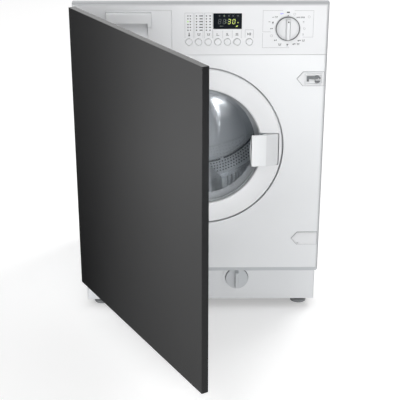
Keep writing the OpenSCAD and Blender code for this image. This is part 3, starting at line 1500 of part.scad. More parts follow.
module catch_body() {
    color(white) difference() {
        union() {
            slab_y(-1.8 - seat, -seat) translate([catch_cover_x, catch_high]) catch_outline(0);
            slab_y(-6, -1) rounded_rect(catch_cover_x - 13, catch_cover_x + 29, catch_high - 14, catch_high + 14, 3);
        }
        slab_y(-8, -3) rounded_rect(catch_cover_x - 10, catch_cover_x + 26, catch_high - 11, catch_high + 11, 2);
        around_y(strike_x, catch_high, -10) cylinder(r = 2.5, h = 12);
    }
}

module catch_hook() {
    x0 = catch_cover_x - 9;
    color(zinc) slab_y(-7, -3 - seat) {
        translate([x0, catch_high + 1]) square([26, 6]);
        translate([x0, catch_high - 5]) square([5, 10]);
        difference() {
            translate([x0 + 24, catch_high]) circle(9);
            translate([x0 + 24, catch_high]) circle(4.5);
            translate([x0 + 24, catch_high - 4]) square([20, 5]);
            translate([x0, catch_high - 20]) square([19, 40]);
        }
    }
}

module blank_cover() {
    color(white) difference() {
        union() {
            slab_y(-1.8 - seat, -seat) translate([catch_cover_x, catch_low]) catch_outline(0);
            slab_y(-2.6 - seat, -1) translate([catch_cover_x, catch_low]) catch_outline(-2.5);
        }
        around_y(catch_cover_x - catch_w / 2 + catch_tip + 2, catch_low - catch_h / 2 + 5, -5)
            cylinder(r = 1.4, h = 8);
    }
}

side_panels();
rear_panel();
top_cover();
base_tray();
kick_panel();
plinth_strip();
front_panel();
fascia();
display_window();
control_board();
selector_switch();
selector_knob();
push_button(button_xs[0]);  // button_1
push_button(button_xs[1]);  // button_2
push_button(button_xs[2]);  // button_3
push_button(button_xs[3]);  // button_4
push_button(button_xs[4]);  // button_5
push_button(button_xs[5]);  // button_6
push_button(start_x);  // button_start
drawer_front();
drawer_tray();
drawer_housing();
door_ring();
door_frame();
door_glass();
door_hinge_leaf();
door_hinge_bracket();
door_handle();
door_latch();
door_lock();
door_gasket();
tub_front();
tub_rear();
drum_shell();
drum_back();
drum_spider();
drum_lifters();
drum_bearings();
drum_pulley();
motor_pulley();
drive_belt();
motor();
front_weights();
suspension_springs();
dampers();
heater();
sump_hose();
drain_pump();
filter_cap();
drain_pipe();
inlet_valve();
cord_gland();
feet();
panel_hinge_arms();
panel_hinge_cups();
panel_strike();
furniture_panel();
catch_body();
catch_hook();
blank_cover();
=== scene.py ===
import json
import math

import bmesh
import bpy
from mathutils import Matrix, Vector


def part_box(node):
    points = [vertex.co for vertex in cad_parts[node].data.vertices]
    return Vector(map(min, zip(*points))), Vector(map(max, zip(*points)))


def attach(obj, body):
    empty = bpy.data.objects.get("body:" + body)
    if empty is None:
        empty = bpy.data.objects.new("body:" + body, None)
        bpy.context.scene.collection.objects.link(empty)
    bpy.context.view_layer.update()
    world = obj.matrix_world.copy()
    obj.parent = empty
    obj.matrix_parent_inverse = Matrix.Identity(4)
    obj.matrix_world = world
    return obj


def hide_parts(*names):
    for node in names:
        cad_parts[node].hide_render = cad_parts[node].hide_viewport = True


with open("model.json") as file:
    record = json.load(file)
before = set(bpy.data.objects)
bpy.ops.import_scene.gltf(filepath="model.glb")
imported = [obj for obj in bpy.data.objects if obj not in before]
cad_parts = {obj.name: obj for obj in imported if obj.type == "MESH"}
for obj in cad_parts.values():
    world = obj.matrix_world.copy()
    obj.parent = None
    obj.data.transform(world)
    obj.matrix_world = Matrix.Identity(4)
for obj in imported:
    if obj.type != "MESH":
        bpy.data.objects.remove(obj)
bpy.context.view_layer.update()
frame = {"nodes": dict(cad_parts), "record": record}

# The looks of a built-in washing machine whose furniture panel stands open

scene = bpy.context.scene
record = frame["record"]
BODY_OF = {node: body for body, nodes in record["behaviour"]["bodies"].items() for node in nodes}
SLOT_OF = {row["node"]: row["material_slot"] for row in record["subparts"]}
MM = 0.001

# Places read from the frame, in millimetres
ring_lo, ring_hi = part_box("door_ring")
DOOR_Z = (ring_lo.z + ring_hi.z) / 2 / MM
drum_lo, drum_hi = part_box("drum_shell")
DRUM_R = (drum_hi.z - drum_lo.z) / 2 / MM
DRUM_Y0 = drum_lo.y / MM
DRUM_Y1 = drum_hi.y / MM
FASCIA = [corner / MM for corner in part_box("fascia")]
WINDOW = [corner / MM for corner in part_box("display_window")]
KNOB = [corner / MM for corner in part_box("selector_knob")]
KNOB_X = (KNOB[0].x + KNOB[1].x) / 2
KNOB_Z = (KNOB[0].z + KNOB[1].z) / 2
KNOB_R = (KNOB[1].x - KNOB[0].x) / 2
BUTTONS = ["button_1", "button_2", "button_3", "button_4", "button_5", "button_6", "button_start"]

# Shading helpers


def add(tree, kind, inputs=None, **settings):
    """A shader node with its settings, and with values or links on its inputs."""
    node = tree.nodes.new("ShaderNode" + kind)
    for key, value in settings.items():
        setattr(node, key, value)
    for key, value in (inputs or {}).items():
        if isinstance(value, bpy.types.NodeSocket):
            tree.links.new(value, node.inputs[key])
        else:
            node.inputs[key].default_value = value
    return node


def effect(name, inputs, outputs):
    """An empty node group with named inputs and outputs."""
    tree = bpy.data.node_groups.new(name, "ShaderNodeTree")
    for label, value in inputs.items():
        kind = "NodeSocketFloat" if isinstance(value, float) else "NodeSocketVector"
        if isinstance(value, tuple) and len(value) == 4:
            kind = "NodeSocketColor"
        tree.interface.new_socket(label, in_out="INPUT", socket_type=kind).default_value = value
    for label, kind in outputs.items():
        tree.interface.new_socket(label, in_out="OUTPUT", socket_type="NodeSocket" + kind)
    return tree, tree.nodes.new("NodeGroupInput").outputs, tree.nodes.new("NodeGroupOutput").inputs


def maths(tree, operation, first, second):
    """The result of a maths operation on two values."""
    return add(tree, "Math", {0: first, 1: second}, operation=operation).outputs[0]


def here(tree):
    """The object's own coordinates."""
    return add(tree, "TexCoord").outputs["Object"]


def spread_round(tree, factor, level, spread):
    """A value that wanders by spread on both sides of level as factor goes from 0.25 to 0.75."""
    return add(tree, "MapRange", {"Value": factor, "From Min": 0.25, "From Max": 0.75,
                                  "To Min": maths(tree, "SUBTRACT", level, spread),
                                  "To Max": maths(tree, "ADD", level, spread)}).outputs[0]


def shifted(tree, color, factor, spread):
    """A colour that wanders from darker to lighter with a factor."""
    shade = spread_round(tree, factor, 1.0, spread)
    return add(tree, "VectorMath", {0: color, "Scale": shade}, operation="SCALE").outputs[0]


def grained(tree, given, out, noise):
    """The group with a noise put out as a roughness round the given level and as a height."""
    height = noise.outputs["Fac"]
    tree.links.new(spread_round(tree, height, given["Level"], given["Spread"]), out["Roughness"])
    tree.links.new(height, out["Height"])
    return tree


def make_tone():
    """A colour that is a little lighter and darker in broad clouds."""
    tree, given, out = effect("tone_shift", {"Color": (0.8, 0.8, 0.8, 1.0), "Scale": 6.0, "Spread": 0.03},
                              {"Color": "Color"})
    cloud = add(tree, "TexNoise", {"Vector": here(tree), "Scale": given["Scale"], "Detail": 3.0})
    tree.links.new(shifted(tree, given["Color"], cloud.outputs["Fac"], given["Spread"]), out["Color"])
    return tree


def make_grain():
    """Moulded or sprayed grain: a roughness and a height that wander alike."""
    tree, given, out = effect("fine_grain", {"Scale": 1500.0, "Level": 0.4, "Spread": 0.05,
                                             "Stretch": (1.0, 1.0, 1.0)},
                              {"Roughness": "Float", "Height": "Float"})
    drawn = add(tree, "VectorMath", {0: here(tree), 1: given["Stretch"]}, operation="MULTIPLY")
    noise = add(tree, "TexNoise", {"Vector": drawn.outputs[0], "Scale": given["Scale"], "Detail": 4.0})
    return grained(tree, given, out, noise)


def make_spangle():
    """The flat crystals of galvanised sheet: a colour and a roughness for each crystal."""
    tree, given, out = effect("spangle", {"Color": (0.6, 0.6, 0.6, 1.0), "Scale": 70.0, "Spread": 0.1},
                              {"Color": "Color", "Roughness": "Float"})
    crystal = add(tree, "TexVoronoi", {"Vector": here(tree), "Scale": given["Scale"]})
    split = add(tree, "SeparateColor", {"Color": crystal.outputs["Color"]})
    tree.links.new(shifted(tree, given["Color"], split.outputs[0], given["Spread"]), out["Color"])
    rough = add(tree, "MapRange", {"Value": split.outputs[1], "To Min": 0.32, "To Max": 0.5})
    tree.links.new(rough.outputs[0], out["Roughness"])
    return tree


# The turned rings' noise is drawn out round the axis, and left as it is away from it and along it
RING_DRAW = (0.012, 1.0, 1.0)


def make_turned():
    """Fine rings round the drum's axis, as on spun or rolled sheet."""
    tree, given, out = effect("turned_rings", {"Level": 0.25, "Spread": 0.06},
                              {"Roughness": "Float", "Height": "Float"})
    centred = add(tree, "Mapping", {"Vector": here(tree), "Location": (0.0, 0.0, -DOOR_Z * MM)})
    across, deep, up = add(tree, "SeparateXYZ", {"Vector": centred.outputs[0]}).outputs
    flat = add(tree, "CombineXYZ", {"X": across, "Y": up})
    reach = add(tree, "VectorMath", {0: flat.outputs[0]}, operation="LENGTH")
    polar = add(tree, "CombineXYZ", {"X": maths(tree, "ARCTAN2", across, up), "Y": reach.outputs["Value"],
                                     "Z": deep})
    drawn = add(tree, "VectorMath", {0: polar.outputs[0], 1: RING_DRAW}, operation="MULTIPLY")
    noise = add(tree, "TexNoise", {"Vector": drawn.outputs[0], "Scale": 900.0, "Detail": 3.0})
    return grained(tree, given, out, noise)


def make_painted_edge_shade():
    """A white colour with painted shade where the sheet curves round at the top and at the right side."""
    tree, given, out = effect("painted_edge_shade", {"Color": (0.8, 0.8, 0.8, 1.0), "Painted_Shade": (0.4, 0.4, 0.4, 1.0),
                                            "Top": 1.0, "Side": 1.0, "Reach": 0.008}, {"Color": "Color"})
    split = add(tree, "SeparateXYZ", {"Vector": here(tree)})
    masks = []
    for axis, edge in ((2, "Top"), (0, "Side")):
        start = maths(tree, "SUBTRACT", given[edge], given["Reach"])
        mask = add(tree, "MapRange", {"Value": split.outputs[axis], "From Min": start,
                                      "From Max": given[edge]}, interpolation_type="SMOOTHSTEP")
        masks.append(mask.outputs[0])
    mixed = add(tree, "Mix", {0: maths(tree, "MAXIMUM", *masks), 6: given["Color"], 7: given["Painted_Shade"]},
                data_type="RGBA")
    tree.links.new(mixed.outputs[2], out["Color"])
    return tree


TONE = make_tone()
PAINTED_EDGE_SHADE = make_painted_edge_shade()
GRAIN = make_grain()
SPANGLE = make_spangle()
TURNED = make_turned()


def use(tree, group, inputs):
    """A node group placed in a material with its own values."""
    return add(tree, "Group", inputs, node_tree=group)


def blank(name):
    """A material and its empty tree."""
    made = bpy.data.materials.new(name)
    made.use_nodes = True
    made.node_tree.nodes.clear()
    return made, made.node_tree


def ended(made, shader):
    """The material with a shader joined to its output."""
    output = made.node_tree.nodes.new("ShaderNodeOutputMaterial")
    made.node_tree.links.new(shader.outputs[0], output.inputs[0])
    return made


def surfaced(made, shade, fine, relief=2e-5, strength=0.5, **sockets):
    """The material with one shader: a shade's colour, a grain's roughness and relief, and other sockets."""
    tree = made.node_tree
    inputs = {"Base Color": shade.outputs["Color"], "Roughness": fine.outputs["Roughness"]}
    if relief:
        bump = add(tree, "Bump", {"Height": fine.outputs["Height"], "Distance": relief, "Strength": strength})
        inputs["Normal"] = bump.outputs[0]
    for key, value in sockets.items():
        inputs[key.replace("_", " ")] = value
    return ended(made, add(tree, "BsdfPrincipled", inputs))


def finish(name, color, rough, metal=0.0, cloud=(6.0, 0.02), grain=(1500.0, 0.05), bump=2e-5,
           stretch=(1.0, 1.0, 1.0), **sockets):
    """A painted, moulded or metal surface with broad tone and fine grain."""
    made, tree = blank(name)
    made.diffuse_color = (*color, 1.0)
    shade = use(tree, TONE, {"Color": (*color, 1.0), "Scale": cloud[0], "Spread": cloud[1]})
    fine = use(tree, GRAIN, {"Scale": grain[0], "Level": rough, "Spread": grain[1], "Stretch": stretch})
    return surfaced(made, shade, fine, bump, Metallic=metal, **sockets)


def painted_edge_shaded(name, color, rim, rough, top, side, reach):
    """A white front with painted shade on its curved edges. The last three values are in millimetres."""
    made, tree = blank(name)
    base = use(tree, PAINTED_EDGE_SHADE, {"Color": (*color, 1.0), "Painted_Shade": (*rim, 1.0), "Top": top * MM, "Side": side * MM,
                           "Reach": reach * MM})
    shade = use(tree, TONE, {"Color": base.outputs["Color"], "Scale": 5.0, "Spread": 0.012})
    fine = use(tree, GRAIN, {"Scale": 900.0, "Level": rough, "Spread": 0.03})
    return surfaced(made, shade, fine)


def zinc_sheet():
    """Galvanised sheet with its spangle."""
    made, tree = blank("zinc_sheet")
    crystals = use(tree, SPANGLE, {"Color": (0.60, 0.62, 0.64, 1.0), "Scale": 85.0, "Spread": 0.07})
    fine = use(tree, GRAIN, {"Scale": 900.0, "Level": 0.4, "Spread": 0.05})
    return surfaced(made, crystals, fine, Roughness=crystals.outputs["Roughness"], Metallic=0.9)


def drum_steel():
    """Polished stainless sheet with faint turning rings."""
    made, tree = blank("drum_steel")
    shade = use(tree, TONE, {"Color": (0.88, 0.91, 0.94, 1.0), "Scale": 14.0, "Spread": 0.03})
    rings = use(tree, TURNED, {"Level": 0.21, "Spread": 0.05})
    return surfaced(made, shade, rings, 1e-5, Metallic=0.45)


# The share of each ray that goes straight through the glass
CLEAR_SHARE = 0.86


def bowl_glass():
    """Clear pressed glass that lets the lamps through to the drum."""
    made, tree = blank("bowl_glass")
    fine = use(tree, GRAIN, {"Scale": 12.0, "Level": 0.003, "Spread": 0.003})
    glass = add(tree, "BsdfPrincipled", {
        "Base Color": (0.98, 0.99, 0.995, 1.0), "Roughness": fine.outputs["Roughness"], "IOR": 1.35,
        "Transmission Weight": 1.0, "Coat Weight": 1.0, "Coat IOR": 1.5, "Coat Roughness": 0.03})
    clear = add(tree, "BsdfTransparent", {"Color": (0.98, 0.985, 0.99, 1.0)})
    path = add(tree, "LightPath").outputs
    inner = maths(tree, "MAXIMUM", path["Is Glossy Ray"], path["Is Diffuse Ray"])
    later = maths(tree, "MAXIMUM", inner, path["Is Shadow Ray"])
    thin = maths(tree, "MAXIMUM", later, CLEAR_SHARE)
    return ended(made, add(tree, "MixShader", {0: thin, 1: glass.outputs[0], 2: clear.outputs[0]}))


def concrete():
    """Cast concrete with pores and pale grit."""
    made, tree = blank("concrete")
    shade = use(tree, TONE, {"Color": (0.40, 0.39, 0.36, 1.0), "Scale": 40.0, "Spread": 0.16})
    fine = use(tree, GRAIN, {"Scale": 260.0, "Level": 0.92, "Spread": 0.06})
    return surfaced(made, shade, fine, 6e-4, 0.8)


def lit(name, color, strength):
    """A mark that glows: a lit segment or lamp, or a painted glow on the unlit ghost segments and the violet
    print.
    """
    made, tree = blank(name)
    shade = use(tree, TONE, {"Color": (*color, 1.0), "Scale": 300.0, "Spread": 0.08})
    fine = use(tree, GRAIN, {"Scale": 2500.0, "Level": 0.3, "Spread": 0.05})
    return surfaced(made, shade, fine, 0, Emission_Color=shade.outputs["Color"], Emission_Strength=strength)


ENAMEL = (0.80, 0.815, 0.83)
PLASTIC = (0.79, 0.80, 0.815)
PAINTED_SHADE_GREY = (0.40, 0.41, 0.425)
HANDLE_PAINTED_SHADE = (0.68, 0.69, 0.705)
PAINTED_SHADE_REACH = 9.0
# Higher than the machine, for a front without a painted darker top
NO_PAINTED_TOP = 1000.0
# The handle has painted shade to the right of this line
HANDLE_SHADE_LINE = 158.6
MATERIALS = {
    "white_enamel": finish("white_enamel", ENAMEL, 0.30, grain=(700.0, 0.03), bump=3e-5),
    "white_plastic": finish("white_plastic", PLASTIC, 0.40, grain=(2600.0, 0.04), bump=1e-5),
    "zinc_sheet": zinc_sheet(),
    "grey_strip": finish("grey_strip", (0.52, 0.54, 0.56), 0.5),
    "grey_plastic": finish("grey_plastic", (0.60, 0.62, 0.64), 0.45, grain=(1200.0, 0.06)),
    "dark_plastic": finish("dark_plastic", (0.030, 0.032, 0.035), 0.42, grain=(1200.0, 0.08)),
    "display_window": finish("display_window", (0.0022, 0.0050, 0.0085), 0.16, grain=(400.0, 0.02), bump=2e-6,
                             Specular_IOR_Level=0.03),
    "circuit_board": finish("circuit_board", (0.020, 0.110, 0.055), 0.45, cloud=(60.0, 0.2)),
    "door_glass": bowl_glass(),
    "plated_steel": finish("plated_steel", (0.66, 0.67, 0.69), 0.30, metal=1.0, cloud=(40.0, 0.04),
                           grain=(900.0, 0.08), stretch=(1.0, 1.0, 0.06)),
    "drum_steel": drum_steel(),
    "cast_alloy": finish("cast_alloy", (0.52, 0.53, 0.55), 0.55, metal=0.9, cloud=(30.0, 0.06),
                         grain=(700.0, 0.08), bump=1.5e-4),
    "motor_casing": finish("motor_casing", (0.13, 0.135, 0.145), 0.42, metal=0.5, grain=(500.0, 0.08),
                           bump=6e-5),
    "damper_paint": finish("damper_paint", (0.11, 0.115, 0.12), 0.38, grain=(900.0, 0.06)),
    "gasket_rubber": finish("gasket_rubber", (0.40, 0.415, 0.43), 0.46, grain=(1800.0, 0.07),
                            cloud=(25.0, 0.05)),
    "black_rubber": finish("black_rubber", (0.020, 0.020, 0.021), 0.68, grain=(1300.0, 0.08), bump=6e-5),
    "concrete": concrete(),
    "decor_board": finish("decor_board", (0.0130, 0.0133, 0.0140), 0.20, grain=(1100.0, 0.04),
                          cloud=(9.0, 0.06), bump=2e-5),
}
# Painted shade: the fascia's top and right edges, the front's right edge and the handle's right part are
# coloured darker
FASCIA_WHITE_PAINTED_SHADE = painted_edge_shaded("fascia_white_painted_shade", PLASTIC, PAINTED_SHADE_GREY, 0.38, FASCIA[1].z, FASCIA[1].x, PAINTED_SHADE_REACH)
FRONT_WHITE_PAINTED_SHADE = painted_edge_shaded("front_white_painted_shade", ENAMEL, PAINTED_SHADE_GREY, 0.30, NO_PAINTED_TOP, FASCIA[1].x, PAINTED_SHADE_REACH)
HANDLE_WHITE_PAINTED_SHADE = painted_edge_shaded("handle_white_painted_shade", ENAMEL, HANDLE_PAINTED_SHADE, 0.36, NO_PAINTED_TOP, HANDLE_SHADE_LINE, 0.8)
STRAP_STEEL = finish("strap_steel", (0.085, 0.09, 0.095), 0.34, metal=0.6, grain=(900.0, 0.07))
FOOT_GREY = finish("foot_grey", (0.30, 0.31, 0.32), 0.55, grain=(1300.0, 0.08))
# Painted shadow for the gaps round the catch and the blank cover
SHADOW_LINE_GREY = finish("shadow_line_grey", (0.36, 0.37, 0.385), 0.55, cloud=(40.0, 0.10))
SHADOW_LINE_DARK = finish("shadow_line_dark", (0.16, 0.165, 0.17), 0.55, cloud=(40.0, 0.10))
# Painted shade for the drum's rear wall: the foot line and the dark hole dots
DRUM_PAINTED_SHADE = finish("drum_painted_shade", (0.030, 0.034, 0.038), 0.5, metal=0.3, cloud=(30.0, 0.2))
# Used for printed lines and for the painted shadow line round the drawer's pull
LINE_GREY_PRINT_AND_SHADOW = finish("line_grey_print_and_shadow", (0.46, 0.47, 0.48), 0.5, cloud=(200.0, 0.05))
PRINT_GREY = finish("print_grey", (0.11, 0.115, 0.12), 0.5, cloud=(200.0, 0.08))
PRINT_DARK = finish("print_dark", (0.035, 0.037, 0.041), 0.5, cloud=(200.0, 0.08))
# Painted shade for the knob: the gap round it and the right side of its grip
DIAL_PAINTED_SHADE = finish("dial_painted_shade", (0.115, 0.12, 0.125), 0.38, grain=(1800.0, 0.06))
BLACK_DOT = finish("black_dot", (0.006, 0.006, 0.007), 0.4)
SEGMENT_LIT = lit("segment_lit", (0.40, 0.50, 0.07), 0.55)
SEGMENT_DIM = lit("segment_dim", (0.085, 0.125, 0.065), 0.35)
# The unlit ghost segments carry a faint painted glow
SEGMENT_GHOST = lit("segment_ghost", (0.016, 0.026, 0.032), 0.15)
LAMP_LIT = lit("lamp_lit", (0.30, 0.55, 0.05), 0.6)
LAMP_OFF = finish("lamp_off", (0.040, 0.043, 0.045), 0.35)
# The violet print carries a painted glow; it is no lamp
MARK_VIOLET = lit("mark_violet", (0.20, 0.17, 0.62), 0.35)

# Mesh helpers


def placed(name, data):
    """A new object in the scene."""
    obj = bpy.data.objects.new(name, data)
    scene.collection.objects.link(obj)
    return obj


def make_piece(name, bm, material, body, smooth=32.0):
    """A named piece from a bmesh, with its sharp edges kept, that rides on a body."""
    mesh = bpy.data.meshes.new(name)
    bm.to_mesh(mesh)
    bm.free()
    custom = mesh.attributes.get("custom_normal")
    if custom:
        mesh.attributes.remove(custom)
    mesh.materials.clear()
    mesh.materials.append(material)
    mesh.shade_smooth()
    mesh.set_sharp_from_angle(angle=math.radians(smooth))
    obj = placed(name, mesh)
    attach(obj, body)
    return obj


def clean(bm):
    """The same mesh with its faces turned outward."""
    bmesh.ops.recalc_face_normals(bm, faces=bm.faces)
    return bm


def printed(name, bm, material, body="cabinet"):
    """A piece that lies flat on a face: print, a lamp or a seam."""
    make_piece(name, clean(bm), material, body)


def thicken(obj, thickness, offset):
    """A live sheet thickness, in millimetres."""
    sheet = obj.modifiers.new("sheet", "SOLIDIFY")
    sheet.thickness = thickness * MM
    sheet.offset = offset


# Pieces whose details lie closer together than the rounded edges are wide
CROWDED = {"front_panel_finished", "door_frame_finished"}


def round_edges(obj, width, segments=2, limit=32.0):
    """A live bevel on the edges that turn by more than limit, in degrees."""
    bevel = obj.modifiers.new("edges", "BEVEL")
    bevel.width = width * MM
    bevel.segments = segments
    bevel.limit_method = "ANGLE"
    bevel.angle_limit = math.radians(limit)
    bevel.use_clamp_overlap = obj.name in CROWDED
    bevel.harden_normals = True


def dressed(node, width, segments=2):
    """A copy of a CAD node with its triangles joined and its edges rounded, which stands for the node."""
    bm = bmesh.new()
    bm.from_mesh(frame["nodes"][node].data)
    bmesh.ops.remove_doubles(bm, verts=bm.verts, dist=2e-6)
    bmesh.ops.dissolve_limit(bm, angle_limit=math.radians(0.4), use_dissolve_boundaries=False,
                             verts=bm.verts, edges=bm.edges)
    slot = SLOT_OF[node]
    obj = make_piece(node + "_finished", bm, OWN_FINISH.get(node, MATERIALS[slot]), BODY_OF[node])
    if width:
        round_edges(obj, width, segments)
    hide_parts(node)


def spun(profile, x, z, steps=128):
    """A closed profile of (radius, y) points turned once round an axis along Y."""
    bm = bmesh.new()
    verts = [bm.verts.new(((x + r) * MM, y * MM, z * MM)) for r, y in profile]
    edges = [bm.edges.new(pair) for pair in zip(verts, verts[1:] + verts[:1])]
    bmesh.ops.spin(bm, geom=verts + edges, cent=(x * MM, 0, z * MM), axis=(0, 1, 0), angle=2 * math.pi,
                   steps=steps, use_merge=True, use_duplicate=False)
    bmesh.ops.remove_doubles(bm, verts=bm.verts, dist=1e-6)
    return clean(bm)


# Print stands a little proud of the front plane and reaches a little behind it
PRINT_FRONT = -0.1
PRINT_BACK = 0.05


def plate(bm, outline, front=PRINT_FRONT, back=PRINT_BACK):
    """A flat shape in X and Z with a thickness from front back to back, in millimetres."""
    face = bm.faces.new([bm.verts.new((x * MM, front * MM, z * MM)) for x, z in outline])
    grown = bmesh.ops.extrude_face_region(bm, geom=[face])
    moved = [v for v in grown["geom"] if isinstance(v, bmesh.types.BMVert)]
    bmesh.ops.translate(bm, verts=moved, vec=(0, (back - front) * MM, 0))


def bar(bm, x0, x1, z0, z1, front=PRINT_FRONT, back=PRINT_BACK):
    """A level or upright bar."""
    plate(bm, [(x0, z0), (x1, z0), (x1, z1), (x0, z1)], front, back)


def dot(bm, x, z, radius, front=PRINT_FRONT, back=PRINT_BACK, sides=16):
    """A round dot."""
    angles = [2 * math.pi / sides * k for k in range(sides)]
    plate(bm, [(x + radius * math.cos(a), z + radius * math.sin(a)) for a in angles], front, back)


def path_line(bm, points, width):
    """A printed line of level and upright runs along the points."""
    half = width / 2
    for (x0, z0), (x1, z1) in zip(points, points[1:]):
        bar(bm, min(x0, x1) - half, max(x0, x1) + half, min(z0, z1) - half, max(z0, z1) + half)


def arc_line(bm, x, z, radius, width, sides, front=PRINT_FRONT, back=PRINT_BACK, start=0.0, arc=2 * math.pi):
    """A flat ring, or a part of one, inside a radius."""
    for k in range(sides):
        a, b = start + arc * k / sides, start + arc * (k + 1) / sides
        corners = [(radius, a), (radius, b), (radius - width, b), (radius - width, a)]
        plate(bm, [(x + r * math.cos(t), z + r * math.sin(t)) for r, t in corners], front, back)


# Finished copies of the rigid nodes: the width of each node's rounded edges in millimetres

EDGES = {
    "side_panels": 0.4, "rear_panel": 0.0, "top_cover": 0.4, "kick_panel": 0.3, "plinth_strip": 0.8,
    "base_tray": 0.0, "front_panel": 0.7, "fascia": 0.35, "display_window": 0.3, "drawer_front": 0.8,
    "drawer_tray": 0.4, "drawer_housing": 0.3, "door_ring": 0.5, "door_frame": 0.4, "door_glass": 0.0,
    "door_hinge_leaf": 0.3, "door_hinge_bracket": 0.3, "door_handle": 1.4, "door_latch": 0.3,
    "door_lock": 0.5, "door_gasket": 0.0, "drum_back": 0.0, "drum_lifters": 1.5, "drum_spider": 0.5,
    "filter_cap": 0.5, "drain_pipe": 0.3, "inlet_valve": 0.3, "cord_gland": 0.3, "feet": 0.4,
    "panel_hinge_arms": 0.25, "panel_hinge_cups": 0.25, "panel_strike": 0.3, "furniture_panel": 0.7,
    "catch_body": 0.5, "catch_hook": 0.3, "blank_cover": 0.5, "motor": 0.5, "drain_pump": 0.4,
    "tub_front": 0.0, "tub_rear": 0.0, "front_weights": 1.5, "drum_pulley": 0.3, "motor_pulley": 0.2,
    "drive_belt": 0.4, "dampers": 0.3, "heater": 0.0, "sump_hose": 0.0, "drum_bearings": 0.2,
    "control_board": 0.0, "selector_switch": 0.2,
}
BUTTON_EDGE = 0.7
OWN_FINISH = {"fascia": FASCIA_WHITE_PAINTED_SHADE, "drawer_front": FASCIA_WHITE_PAINTED_SHADE, "front_panel": FRONT_WHITE_PAINTED_SHADE,
              "door_handle": HANDLE_WHITE_PAINTED_SHADE, "catch_hook": STRAP_STEEL, "feet": FOOT_GREY}
for node, width in EDGES.items():
    dressed(node, width)
for node in BUTTONS:
    dressed(node, BUTTON_EDGE, 3)

# Drum shell with its punched holes

HOLE_PITCH = 12.5
HOLE_SIZE = 3.4
# The share of a hole's size that each of its corners is rounded by
HOLE_ROUND = 0.28
PLAIN_ENDS = 26.0
LIFTERS = 3
# The first lifter's place and half the width under it that has no holes, in degrees
LIFTER_ANGLE = 82.0
LIFTER_HALF = 11.0
SHEET = 1.0
MOUTH_R = 156.0


def near_lifter(face):
    """True if a face of the shell lies under a lifter."""
    middle = face.calc_center_median()
    angle = math.degrees(math.atan2(-(middle.z - DOOR_Z * MM), middle.x)) - LIFTER_ANGLE
    off = (angle + 180.0 / LIFTERS) % (360.0 / LIFTERS) - 180.0 / LIFTERS
    return abs(off) < LIFTER_HALF


def drum_shell():
    """The rolled shell's wall of small cells, each with a round-cornered hole."""
    radius = DRUM_R - SHEET
    bm = bmesh.new()
    start = bm.verts.new((radius * MM, (DRUM_Y0 + PLAIN_ENDS) * MM, DOOR_Z * MM))
    rows = round((DRUM_Y1 - DRUM_Y0 - 2 * PLAIN_ENDS) / HOLE_PITCH)
    step = (DRUM_Y1 - DRUM_Y0 - 2 * PLAIN_ENDS) / rows
    line = [start]
    edges = []
    for _ in range(rows):
        grown = bmesh.ops.extrude_vert_indiv(bm, verts=[line[-1]])
        line += grown["verts"]
        edges += grown["edges"]
        bmesh.ops.translate(bm, verts=grown["verts"], vec=(0, step * MM, 0))
    columns = round(2 * math.pi * radius / HOLE_PITCH)
    bmesh.ops.spin(bm, geom=line + edges, cent=(0, 0, DOOR_Z * MM), axis=(0, 1, 0), angle=2 * math.pi,
                   steps=columns, use_merge=True, use_duplicate=False)
    cells = [face for face in bm.faces if not near_lifter(face)]
    bmesh.ops.inset_individual(bm, faces=cells, thickness=(HOLE_PITCH - HOLE_SIZE) / 2 * MM)
    rims = list({vert for face in cells for vert in face.verts})
    bmesh.ops.delete(bm, geom=cells, context="FACES_ONLY")
    bmesh.ops.bevel(bm, geom=rims, offset=HOLE_SIZE * HOLE_ROUND * MM, offset_type="OFFSET", segments=1,
                    profile=0.5, affect="VERTICES", material=-1)
    obj = make_piece("drum_wall", clean(bm), MATERIALS["drum_steel"], "drum", 60.0)
    thicken(obj, SHEET - 0.1, 0.0)


drum_shell()


def turned_sheet(name, profile):
    """A turned part of the drum."""
    return make_piece(name, spun(profile, 0, DOOR_Z), MATERIALS["drum_steel"], "drum", 50.0)


def drum_ends():
    """The shell's plain front with its rolled mouth, and its plain rear band."""
    outer = DRUM_R - SHEET / 2
    inner = outer - SHEET
    y = DRUM_Y0
    front = [(MOUTH_R + 6, y + 10), (MOUTH_R + 1, y + 9), (MOUTH_R - 0.4, y + 6), (MOUTH_R + 1, y + 3),
             (MOUTH_R + 6, y + 1.2), (inner - 14, y + 5), (inner - 6, y + 9), (inner - 1.5, y + 15),
             (inner, y + 22), (inner, y + PLAIN_ENDS + 1), (outer, y + PLAIN_ENDS + 1), (outer, y + 22),
             (outer - 1.5, y + 14), (outer - 6, y + 8), (outer - 14, y + 4), (MOUTH_R + 6, y + 0.2),
             (MOUTH_R + 0.4, y + 2), (MOUTH_R - 1.4, y + 6), (MOUTH_R + 0.4, y + 10), (MOUTH_R + 6, y + 11)]
    obj = turned_sheet("drum_mouth", front)
    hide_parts("drum_shell")
    start = DRUM_Y1 - PLAIN_ENDS - 1
    turned_sheet("drum_band", [(inner, start), (inner, DRUM_Y1), (outer, DRUM_Y1), (outer, start)])


drum_ends()

# Drum rear wall: swirled centre, a painted shadow line at its foot, and the outer band's holes painted as
# dark dots of shade

REAR_MESH = frame["nodes"]["drum_back"].data
# Distances from the axis between which the rear wall's front face is looked up
SWIRL_SEAT = (90.0, 176.0)
BAND_SEAT = (181.0, 186.0)
SWIRL_R = 172.0
SWIRL_RINGS = 26
SWIRL_STEPS = 120
SWIRL_HIGH = 6.5
SWIRL_LOBES = 3.0
# How far the lobes wind from the axis to the edge, in radians
SWIRL_WIND = 5.5
# Shares of the radius between which the swirl stands up
SWIRL_FROM = 0.12
SWIRL_TO = 0.98
SWIRL_SHEET = 0.4
